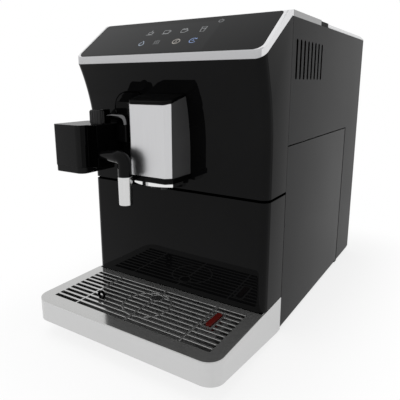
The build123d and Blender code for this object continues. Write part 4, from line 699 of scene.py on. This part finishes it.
upperFront = {"name": "upperFront", "edge": 0.0006, "segments": 2, "areas": [("flankBlack", onFlank)]}
# the step behind the gap between the front shells takes painted shade
lowerFront = {
    "name": "lowerFront", "edge": 0.0006, "segments": 2,
    "areas": [("flankBlack", onFlank), ("paintedGapShade", onSplice)],
}
# the trim's front lip takes painted shade
trimFrame = {"name": "trimFrame", "edge": 0.0005, "segments": 2, "areas": [("shadedLipSilver", onLip)]}
panelGlass = {"name": "panelGlass", "edge": 0.0003, "segments": 2}
dressed("upper_fascia", upperFront)
dressed("lower_fascia", lowerFront)
dressed("panel_trim", trimFrame)
glassPiece = dressed("touch_glass", panelGlass)

basin = {"middleDrop": 0.003, "topDrop": 0.0005, "floatDrop": 0.006}
grilleLow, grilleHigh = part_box("drip_grille")
basinMiddle = Vector((0.0, (grilleLow.y + grilleHigh.y) / 2, grilleLow.z - basin["middleDrop"]))
basinTop = grilleLow.z - basin["topDrop"]
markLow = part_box("water_level_float")[1].z - basin["floatDrop"]


# the basin's inner faces under the grille, which take painted shade
def insideBasin(face):
    return face.center.z < basinTop and (basinMiddle - face.center).dot(face.normal) > 0


# the float's lower part under the grille, which takes painted shade
def shadedBelowMark(face):
    return face.center.z < markLow


# the basin under the grille takes painted shade
trayDish = {"name": "trayDish", "edge": 0.0012, "segments": 3, "areas": [("basinShadeBlack", insideBasin)]}
trayGrille = {
    "name": "trayGrille", "edge": 0.0001, "segments": 2, "rimRound": 0.00035, "rimEnd": 0.0005,
    "rimSpare": 0.0001, "rimSteps": 4, "keepClear": 0.008,
}
clipRing = {"name": "clipRing", "edge": 0.0004, "segments": 2, "finish": "deepBlack"}
# the float's lower part takes painted shade; its upper part keeps its red
levelFloat = {"name": "levelFloat", "edge": 0.0006, "segments": 2, "areas": [("basinShadeBlack", shadedBelowMark)]}
dressed("drip_tray", trayDish)
dressed("drip_grille", trayGrille)
dressed("grille_clip", clipRing)
dressed("water_level_float", levelFloat)


def onSeam(face):
    # the narrow edges of the side panel and its door, which face their seams, painted black as shade
    return abs(face.normal.x) < facing["seam"]


leftSide = {"name": "leftSide", "edge": 0.0006, "segments": 2}
# the right side panel and the service door take painted shade on their seam edges
rightSide = {"name": "rightSide", "edge": 0.0006, "segments": 2, "areas": [("paintedGapShade", onSeam)]}
serviceDoor = {"name": "serviceDoor", "edge": 0.0005, "segments": 2, "areas": [("paintedGapShade", onSeam)]}
rearCover = {"name": "rearCover", "edge": 0.0005, "segments": 2}
inletSocket = {"name": "inletSocket", "edge": 0.0004, "segments": 2}
switchFrame = {"name": "switchFrame", "edge": 0.0004, "segments": 2}
switchRocker = {"name": "switchRocker", "edge": 0.0005, "segments": 3}
basePan = {"name": "basePan", "edge": 0.0005, "segments": 2}
rubberFeet = {"name": "rubberFeet", "edge": 0.0010, "segments": 3}
dressed("left_side_panel", leftSide)
dressed("right_side_panel", rightSide)
dressed("service_door", serviceDoor)
dressed("rear_cover", rearCover)
dressed("power_inlet", inletSocket)
dressed("switch_housing", switchFrame)
dressed("power_switch", switchRocker)
dressed("base_pan", basePan)
dressed("rubber_feet", rubberFeet)

topDeck = {"name": "topDeck", "edge": 0.0005, "segments": 2, "finish": "gripBlack"}
beanFrame = {"name": "beanFrame", "edge": 0.0007, "segments": 2, "finish": "frameSilver"}
beanLid = {"name": "beanLid", "edge": 0.0006, "segments": 2}
tankRim = {"name": "tankRim", "edge": 0.0007, "segments": 2, "finish": "rimSilver"}
tankLid = {"name": "tankLid", "edge": 0.0006, "segments": 2}
waterTank = {"name": "waterTank", "edge": 0.0006, "segments": 2}
beanHopper = {"name": "beanHopper", "edge": 0.0006, "segments": 2}
dressed("top_deck", topDeck)
dressed("top_frame", beanFrame)
dressed("bean_lid", beanLid)
dressed("tank_rim", tankRim)
dressed("tank_lid", tankLid)
dressed("water_tank", waterTank)
dressed("bean_hopper", beanHopper)

spoutBody = {"name": "spoutBody", "edge": 0.0006, "segments": 2, "finish": "spoutBlack"}
spoutCover = {"name": "spoutCover", "edge": 0.0006, "segments": 3}
spoutCap = {"name": "spoutCap", "edge": 0.0012, "segments": 3, "finish": "deepBlack"}
spoutBase = {"name": "spoutBase", "edge": 0.0008, "segments": 3, "finish": "deepBlack"}
spoutPlate = {"name": "spoutPlate", "edge": 0.0004, "segments": 2}
coffeeNozzles = {"name": "coffeeNozzles", "edge": 0.0005, "segments": 3}
dressed("spout_carriage", spoutBody)
dressed("spout_cover", spoutCover)
dressed("spout_cap", spoutCap)
dressed("spout_base", spoutBase)
dressed("spout_plate", spoutPlate)
dressed("coffee_nozzles", coffeeNozzles)

shoulderGap = 0.001
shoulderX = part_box("frother_base")[1].x + shoulderGap


def onShoulder(face):
    # the step beside the frother's front, painted black as shade
    return face.center.x > shoulderX and face.normal.y < -facing["step"]


# the frother's right side, painted darker than its front as shade
def shadedRightSide(face):
    return face.normal.x > facing["side"]


# the plug's top, painted near-black as shade
def shadedPlugTop(face):
    return face.normal.z > facing["side"]


# the steam port carries a painted shadow ring around its front
steamPort = {"name": "steamPort", "edge": 0.0003, "segments": 2, "shadeRingWidth": 0.0011}
# the frother's right side and the step beside it take painted shade
frotherBox = {
    "name": "frotherBox", "edge": 0.0010, "segments": 3, "finish": "boxBlack",
    "areas": [("deepBlack", shadedRightSide), ("paintedGapShade", onShoulder)],
}
frotherFloor = {
    "name": "frotherFloor", "edge": 0.0003, "segments": 2, "finish": "boxBlack", "lowRound": 0.0012,
}
steamTube = {"name": "steamTube", "edge": 0.0004, "segments": 2, "finish": "tubeChrome"}
# the plug's top takes painted shade
steamPlug = {
    "name": "steamPlug", "edge": 0.0008, "segments": 3, "finish": "deepBlack",
    "areas": [("paintedGapShade", shadedPlugTop)],
}
milkElbow = {"name": "milkElbow", "edge": 0.0006, "segments": 2}
milkNozzle = {"name": "milkNozzle", "edge": 0.0004, "segments": 2}
dressed("steam_port", steamPort)
dressed("frother_housing", frotherBox)
dressed("frother_base", frotherFloor)
dressed("steam_tube", steamTube)
dressed("steam_plug", steamPlug)
dressed("milk_elbow", milkElbow)
dressed("milk_nozzle", milkNozzle)
print("outer pieces dressed")

# the inner pieces keep their own shapes and take the finish of their slot
shownNodes = [node for node, item in frame["nodes"].items() if not item.hide_render]
for node in shownNodes:
    item = frame["nodes"][node]
    if not item.material_slots:
        item.data.materials.append(finishes[slotOf[node]])
    for place in item.material_slots:
        place.material = finishes[slotOf[node]]
print("inner pieces painted:", len(shownNodes))


class NodeTree:
    # a Geometry Nodes tree with named size inputs
    def __init__(self, name, sizes):
        self.tree = bpy.data.node_groups.new(name, "GeometryNodeTree")
        self.tree.interface.new_socket("Geometry", in_out="OUTPUT", socket_type="NodeSocketGeometry")
        self.tree.interface.new_socket("Geometry", in_out="INPUT", socket_type="NodeSocketGeometry")
        for key, value in sizes.items():
            kind = "NodeSocketInt" if isinstance(value, int) else "NodeSocketFloat"
            self.tree.interface.new_socket(key, in_out="INPUT", socket_type=kind)
        self.start = self.tree.nodes.new("NodeGroupInput")
        self.end = self.tree.nodes.new("NodeGroupOutput")

    def given(self, name):
        return self.start.outputs[name]

    def add(self, kind, settings=None, inputs=None):
        made = self.tree.nodes.new(kind)
        for key, value in (settings or {}).items():
            setattr(made, key, value)
        for key, value in (inputs or {}).items():
            socket = made.inputs[key]
            for one in value if isinstance(value, list) else [value]:
                if isinstance(one, bpy.types.NodeSocket):
                    self.tree.links.new(one, socket)
                else:
                    socket.default_value = one
        return made

    def barrel(self, sides, radius, depth):
        # an upright cylinder about the origin
        inputs = {"Vertices": self.given(sides), "Radius": self.given(radius), "Depth": depth}
        return self.add("GeometryNodeMeshCylinder", {}, inputs).outputs["Mesh"]

    def raised(self, geometry, height):
        place = self.add("ShaderNodeCombineXYZ", {}, {"Z": height})
        inputs = {"Geometry": geometry, "Translation": place.outputs[0]}
        return self.add("GeometryNodeTransform", {}, inputs).outputs[0]

    def sums(self, operation, first, second):
        return self.add("ShaderNodeMath", {"operation": operation}, {0: first, 1: second}).outputs[0]

    def close(self, geometry, finish):
        real = self.add("GeometryNodeRealizeInstances", {}, {"Geometry": geometry})
        painted = self.add("GeometryNodeSetMaterial", {}, {"Geometry": real.outputs[0], "Material": finish})
        self.tree.links.new(painted.outputs[0], self.end.inputs[0])


def grown(name, points, nodeTree, sizes):
    # runs a tree on some points and keeps the result as a plain mesh
    seedMesh = bpy.data.meshes.new(name + "Points")
    seedMesh.from_pydata([tuple(point) for point in points], [], [])
    holder = bpy.data.objects.new(name + "Holder", seedMesh)
    scene.collection.objects.link(holder)
    grower = holder.modifiers.new("grow", "NODES")
    grower.node_group = nodeTree.tree
    for entry in nodeTree.tree.interface.items_tree:
        if entry.item_type == "SOCKET" and entry.in_out == "INPUT" and entry.name in sizes:
            grower[entry.identifier] = sizes[entry.name]
    bpy.context.view_layer.update()
    ready = holder.evaluated_get(bpy.context.evaluated_depsgraph_get())
    mesh = bpy.data.meshes.new_from_object(ready)
    mesh.name = name
    holder.modifiers.remove(grower)
    bpy.data.objects.remove(holder)
    return mesh


def islandBoxes(node):
    # lowest and highest corner of each separate solid of a node
    form = mergedForm(node)
    left = set(form.verts)
    found = []
    while left:
        island = [left.pop()]
        for vert in island:
            for edge in vert.link_edges:
                other = edge.other_vert(vert)
                if other in left:
                    left.remove(other)
                    island.append(other)
        low = Vector([min(corner.co[axis] for corner in island) for axis in range(3)])
        high = Vector([max(corner.co[axis] for corner in island) for axis in range(3)])
        found.append((low, high))
    form.free()
    return sorted(found, key=lambda pair: tuple(pair[0]))


# cross-head screws of the rear cover
screwSizes = {
    "headRadius": 0.0034, "headHeight": 0.0017, "shankRadius": 0.00175, "shankLength": 0.0073,
    "slotWidth": 0.0009, "slotLength": 0.0040, "slotDepth": 0.0011, "sides": 24, "seed": 4,
}
quarterTurn = pi / 2
halfDown = -0.5
randomSockets = {"low": 2, "high": 3, "result": 1}
screwTree = NodeTree("crossScrew", screwSizes)
head = screwTree.add(
    "GeometryNodeMeshCone", {},
    {
        "Vertices": screwTree.given("sides"), "Radius Top": screwTree.given("headRadius"),
        "Radius Bottom": screwTree.given("shankRadius"), "Depth": screwTree.given("headHeight"),
    },
)
shank = screwTree.barrel("sides", "shankRadius", screwTree.given("shankLength"))
shankDown = screwTree.raised(shank, screwTree.sums("MULTIPLY", screwTree.given("shankLength"), halfDown))
slotSize = screwTree.add(
    "ShaderNodeCombineXYZ", {},
    {
        "X": screwTree.given("slotLength"), "Y": screwTree.given("slotWidth"),
        "Z": screwTree.given("slotDepth"),
    },
)
slotCube = screwTree.add("GeometryNodeMeshCube", {}, {"Size": slotSize.outputs[0]})
slotUp = screwTree.raised(slotCube.outputs["Mesh"], screwTree.given("headHeight"))
slotAcross = screwTree.add(
    "GeometryNodeTransform", {}, {"Geometry": slotUp, "Rotation": (0.0, 0.0, quarterTurn)}
)
cross = screwTree.add(
    "GeometryNodeMeshBoolean", {"operation": "UNION", "solver": "EXACT"},
    {"Mesh 2": [slotUp, slotAcross.outputs[0]]},
)
cutHead = screwTree.add(
    "GeometryNodeMeshBoolean", {"operation": "DIFFERENCE", "solver": "EXACT"},
    {"Mesh 1": head.outputs["Mesh"], "Mesh 2": cross.outputs["Mesh"]},
)
screwForm = screwTree.add("GeometryNodeJoinGeometry", {}, {"Geometry": [shankDown, cutHead.outputs["Mesh"]]})
turn = screwTree.add(
    "FunctionNodeRandomValue", {"data_type": "FLOAT"},
    {randomSockets["low"]: 0.0, randomSockets["high"]: quarterTurn, "Seed": screwTree.given("seed")},
)
aim = screwTree.add(
    "ShaderNodeCombineXYZ", {}, {"X": -quarterTurn, "Y": turn.outputs[randomSockets["result"]]}
)
screwSet = screwTree.add(
    "GeometryNodeInstanceOnPoints", {},
    {"Points": screwTree.given("Geometry"), "Instance": screwForm.outputs[0], "Rotation": aim.outputs[0]},
)
screwTree.close(screwSet.outputs[0], finishes["screw_steel"])
screwPoints = [
    ((low.x + high.x) / 2, high.y - screwSizes["headHeight"], (low.z + high.z) / 2)
    for low, high in islandBoxes("cover_screws")
]
screwMesh = grown("coverScrews", screwPoints, screwTree, screwSizes)
screwPiece = asPiece("coverScrews", screwMesh, bodyOf["cover_screws"])
for face in screwPiece.data.polygons:
    face.use_smooth = False
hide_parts("cover_screws")
print("screws:", len(screwPoints))

# foam knob with its grip ribs
knobLow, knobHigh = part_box("foam_knob")
knobSizes = {
    "radius": 0.00725, "tall": 0.0155, "ribCount": 16, "ribRadius": 0.0007, "ribTop": 0.0020,
    "stemRadius": 0.0030, "stemLength": 0.0080, "sides": 64, "ribSides": 10, "stemSides": 32,
}
knobEdges = {"width": 0.0006, "segments": 2, "angle": 40}
knobTree = NodeTree("foamKnob", knobSizes)
barrel = knobTree.barrel("sides", "radius", knobTree.given("tall"))
ribTall = knobTree.sums("SUBTRACT", knobTree.given("tall"), knobTree.given("ribTop"))
ribRing = knobTree.add(
    "GeometryNodeMeshCircle", {}, {"Vertices": knobTree.given("ribCount"), "Radius": knobTree.given("radius")}
)
rib = knobTree.barrel("ribSides", "ribRadius", ribTall)
ribs = knobTree.add("GeometryNodeInstanceOnPoints", {}, {"Points": ribRing.outputs["Mesh"], "Instance": rib})
stem = knobTree.barrel("stemSides", "stemRadius", knobTree.given("stemLength"))
stemReach = knobTree.sums("ADD", knobTree.given("tall"), knobTree.given("stemLength"))
stemDown = knobTree.raised(stem, knobTree.sums("MULTIPLY", stemReach, halfDown))
knobForm = knobTree.add("GeometryNodeJoinGeometry", {}, {"Geometry": [barrel, ribs.outputs[0], stemDown]})
knobSet = knobTree.add(
    "GeometryNodeInstanceOnPoints", {},
    {"Points": knobTree.given("Geometry"), "Instance": knobForm.outputs[0]},
)
knobTree.close(knobSet.outputs[0], finishes["soft_black"])
knobMiddle = (
    (knobLow.x + knobHigh.x) / 2, (knobLow.y + knobHigh.y) / 2, knobHigh.z - knobSizes["tall"] / 2,
)
knobMesh = grown("foamKnob", [knobMiddle], knobTree, knobSizes)
knobPiece = asPiece("foamKnob", knobMesh, bodyOf["foam_knob"])
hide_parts("foam_knob")
softenEdges(knobPiece, **knobEdges)
print("foam knob:", knobSizes["ribCount"], "ribs")

# lit signs just proud of the sloping glass, drawn in millimetres
signPlane = {
    "origin": Vector((0.0, -0.14835, 0.3148)), "right": Vector((1.0, 0.0, 0.0)),
    "up": Vector(glassUp), "out": Vector(glassOut), "stroke": 0.0009, "lift": 0.00004, "size": 1.25,
}
millimetre = 0.001
samePlace = 1e-6
glassTop = max((corner.co - signPlane["origin"]).dot(signPlane["out"]) for corner in glassPiece.data.vertices)


def arc(x, y, radius, start, stop, count=18):
    turns = [radians(start + (stop - start) * step / count) for step in range(count + 1)]
    return [(x + radius * cos(turn), y + radius * sin(turn)) for turn in turns]


cupLook = {
    "waist": 0.42, "foot": 0.3, "footRise": 0.8, "handleOut": 0.47, "handleUp": 0.08, "handleSize": 0.26,
    "handleFrom": -80, "handleTo": 95, "handleSteps": 10,
}
steamWaves = ((0.0, 0.0), (0.5, 0.33), (-0.3, 0.66), (0.2, 1.0))


def cupStrokes(wide, tall, x=0.0, y=0.0):
    top = y + tall / 2
    low = y - tall / 2
    rim, waist, foot = wide / 2, wide * cupLook["waist"], wide * cupLook["foot"]
    bend = low + cupLook["footRise"]
    bowl = [(x - rim, top), (x - waist, bend), (x - foot, low), (x + foot, low)]
    bowl += [(x + waist, bend), (x + rim, top), (x - rim, top)]
    handleX = x + wide * cupLook["handleOut"]
    handleY = y + tall * cupLook["handleUp"]
    turns = cupLook["handleFrom"], cupLook["handleTo"], cupLook["handleSteps"]
    return [bowl, arc(handleX, handleY, tall * cupLook["handleSize"], *turns)]


def steamStrokes(x, y, tall):
    return [[(x + shift, y + tall * rise) for shift, rise in steamWaves]]


saucer = [[(-3.6, -3.4), (3.6, -3.4)]]
milkFoam = [arc(-1.4, 1.7, 1.1, 0, 180, 10), arc(1.2, 1.7, 1.3, 0, 180, 10)]
signStrokes = {
    "smallCup": cupStrokes(4.6, 3.4, 0.0, -0.8) + saucer + steamStrokes(0.0, 1.6, 2.2),
    "largeCup": cupStrokes(6.2, 5.0, 0.0, -0.4) + saucer,
    "milkCup": cupStrokes(6.0, 4.4, 0.0, -0.9) + milkFoam,
    "tallGlass": [
        [(-2.4, 3.8), (-1.7, -3.6), (1.7, -3.6), (2.4, 3.8), (-2.4, 3.8)], [(-2.1, 1.2), (2.1, 1.2)],
    ],
    "hotWater": [arc(0.0, -1.0, 2.3, 150, 390, 20) + [(0.0, 3.8)] + arc(0.0, -1.0, 2.3, 150, 150, 1)],
    "steam": steamStrokes(-2.2, -2.6, 5.6) + steamStrokes(0.0, -2.6, 6.4) + steamStrokes(2.2, -2.6, 5.6),
    "bean": [arc(0.0, 0.0, 3.4, 0, 360, 26), [(-1.6, -2.9), (0.7, -0.9), (-0.7, 0.9), (1.6, 2.9)]],
    "rinse": [
        arc(0.0, 0.0, 3.3, 40, 330, 22), [(1.2, 2.2), (2.6, 2.2), (2.6, 3.7)],
        [(-1.0, -0.6), (0.0, 1.2), (1.0, -0.6)],
    ],
    "power": [arc(0.0, 0.0, 2.2, 120, 420, 22), [(0.0, 0.6), (0.0, 2.9)]],
}
signPlaces = [
    ("smallCup", -34.0, 43.5, "white"), ("largeCup", -12.0, 43.5, "white"),
    ("milkCup", 11.0, 43.5, "white"), ("tallGlass", 35.0, 43.5, "white"),
    ("hotWater", -34.0, 22.5, "cool"), ("steam", -14.0, 22.5, "dim"),
    ("bean", 12.0, 22.5, "warm"), ("rinse", 33.0, 22.5, "blue"), ("power", 50.0, 57.7, "dim"),
]
signLights = {
    "white": lightSign("signWhite", (0.80, 0.83, 0.86), 0.20),
    "cool": lightSign("signCool", (0.66, 0.80, 1.0), 0.42),
    "dim": lightSign("signDim", (0.75, 0.78, 0.82), 0.12),
    "warm": lightSign("signWarm", (0.95, 0.88, 0.80), 0.30),
    "blue": lightSign("signBlue", (0.34, 0.52, 1.0), 0.46),
}


def onGlass(x, y, lift):
    flat = signPlane["origin"] + signPlane["right"] * x + signPlane["up"] * y
    return flat + signPlane["out"] * (glassTop + lift)


def ribbon(form, points, centreX, centreY):
    # one flat stroke with a square section
    line = [Vector((x, y)) for x, y in points]
    closed = (line[0] - line[-1]).length < samePlace and len(line) > 2
    if closed:
        line = line[:-1]
    rows = []
    for index, point in enumerate(line):
        before = line[index - 1] if closed or index else point
        after = line[(index + 1) % len(line)] if closed or index + 1 < len(line) else point
        along = (after - before).normalized() if (after - before).length else Vector((1.0, 0.0))
        side = Vector((-along.y, along.x)) * signPlane["stroke"] / 2
        centre = Vector((centreX, centreY)) + point * millimetre * signPlane["size"]
        lift = signPlane["lift"]
        row = []
        for offset, rise in ((side, 0.0), (side, lift), (-side, lift), (-side, 0.0)):
            spot = centre + offset
            row.append(form.verts.new(onGlass(spot.x, spot.y, rise)))
        rows.append(row)
    pairs = list(zip(rows, rows[1:])) + ([(rows[-1], rows[0])] if closed else [])
    for first, second in pairs:
        for corner in range(len(first)):
            following = (corner + 1) % len(first)
            form.faces.new((first[corner], first[following], second[following], second[corner]))
    if not closed:
        form.faces.new(rows[0][::-1])
        form.faces.new(rows[-1])


for sign, x, y, light in signPlaces:
    form = bmesh.new()
    for points in signStrokes[sign]:
        ribbon(form, points, x * millimetre, y * millimetre)
    bmesh.ops.recalc_face_normals(form, faces=form.faces)
    mesh = bpy.data.meshes.new(sign + "Sign")
    form.to_mesh(mesh)
    form.free()
    mesh.materials.append(signLights[light])
    asPiece(sign + "Sign", mesh, "body")
    for face in mesh.polygons:
        face.use_smooth = False
print("signs:", len(signPlaces))


def seenRays(tree):
    # 1 for what the camera sees, straight on, mirrored or through clear plastic
    rays = tree.nodes.new("ShaderNodeLightPath")
    seen = Wire(tree, rays.outputs["Is Camera Ray"]) + Wire(tree, rays.outputs["Is Glossy Ray"])
    return seen + Wire(tree, rays.outputs["Is Transmission Ray"])


def beyond(wire, half):
    # how far a place lies outside the middle strip
    return wire.sums("MAXIMUM", wire.sums("ABSOLUTE", wire, 0.0) - half, 0.0)


# floor, light and camera
floorLook = {
    "reach": 3.0, "shade": 0.95, "shadowShare": 0.22, "halfWide": 0.12, "halfDeep": 0.23, "fade": 0.16,
}
whiteLight = (1.0, 1.0, 1.0, 1.0)
reach = floorLook["reach"]
floorCorners = [(-reach, -reach, 0), (reach, -reach, 0), (reach, reach, 0), (-reach, reach, 0)]
floorMesh = bpy.data.meshes.new("studioFloor")
floorMesh.from_pydata(floorCorners, [], [(0, 1, 2, 3)])
studioFloor = bpy.data.objects.new("studioFloor", floorMesh)
scene.collection.objects.link(studioFloor)
floorFinish = bpy.data.materials.new("floorPaper")
floorFinish.use_nodes = True
floorTree = floorFinish.node_tree
floorTree.nodes.clear()
seen = seenRays(floorTree)
paper = seen.node("ShaderNodeBsdfDiffuse", {}, {"Color": (floorLook["shade"],) * 3 + (1.0,)})
white = seen.node("ShaderNodeEmission", {}, {"Color": whiteLight, "Strength": 1.0})
spot = Wire(floorTree, floorTree.nodes.new("ShaderNodeTexCoord").outputs["Object"])
beyondX = beyond(spot.node("ShaderNodeSeparateXYZ", {}, {"Vector": spot}, "X"), floorLook["halfWide"])
beyondY = beyond(spot.node("ShaderNodeSeparateXYZ", {}, {"Vector": spot}, "Y"), floorLook["halfDeep"])
nearby = 1 - window((beyondX ** 2 + beyondY ** 2) ** 0.5, 0.0, floorLook["fade"])
whiteShare = seen * (1 - nearby * floorLook["shadowShare"])
blend = seen.node("ShaderNodeMixShader", {}, {0: whiteShare, 1: paper, 2: white})
floorEnd = floorTree.nodes.new("ShaderNodeOutputMaterial")
floorTree.links.new(blend.socket, floorEnd.inputs["Surface"])
floorMesh.materials.append(floorFinish)

skyLook = {"fill": 0.72}
world = bpy.data.worlds.new("studio")
scene.world = world
world.use_nodes = True
skyTree = world.node_tree
skyTree.nodes.clear()
openRays = seenRays(skyTree)
skyStrength = skyLook["fill"] + openRays * (1.0 - skyLook["fill"])
sky = openRays.node("ShaderNodeBackground", {}, {"Color": whiteLight, "Strength": skyStrength})
skyEnd = skyTree.nodes.new("ShaderNodeOutputWorld")
skyTree.links.new(sky.socket, skyEnd.inputs["Surface"])


def softLamp(name, look):
    # a rectangular lamp that gives light but isn't seen itself
    lampData = bpy.data.lights.new(name, "AREA")
    lampData.shape = "RECTANGLE"
    lampData.size = look["wide"]
    lampData.size_y = look["tall"]
    lampData.energy = look["watts"]
    lamp = bpy.data.objects.new(name, lampData)
    lamp.location = look["place"]
    aimAt = Vector(look["target"]) - Vector(look["place"])
    lamp.rotation_euler = aimAt.to_track_quat("-Z", "Y").to_euler()
    lamp.visible_camera = False
    lamp.visible_glossy = False
    scene.collection.objects.link(lamp)


topLamp = {"place": (-0.2, -0.4, 1.6), "target": (0, 0, 0.2), "wide": 1.4, "tall": 1.2, "watts": 6.0}
frontLamp = {"place": (-1.1, -1.3, 0.8), "target": (0, 0, 0.2), "wide": 0.9, "tall": 0.9, "watts": 5.0}
softLamp("topLamp", topLamp)
softLamp("frontLamp", frontLamp)

cameraLook = {
    "place": (0.2867, -0.51995, 0.2859), "pitch": 12.853, "heading": 32.185,
    "lens": 39.2985, "sensor": 36.0, "shiftY": -0.0434, "clipStart": 0.02,
}
cameraData = bpy.data.cameras.new("photoCamera")
cameraData.lens = cameraLook["lens"]
cameraData.sensor_width = cameraLook["sensor"]
cameraData.shift_y = cameraLook["shiftY"]
cameraData.clip_start = cameraLook["clipStart"]
camera = bpy.data.objects.new("photoCamera", cameraData)
camera.location = cameraLook["place"]
camera.rotation_euler = (radians(90 - cameraLook["pitch"]), 0.0, radians(cameraLook["heading"]))
scene.collection.objects.link(camera)
scene.camera = camera
print("floor, lamps and camera set")
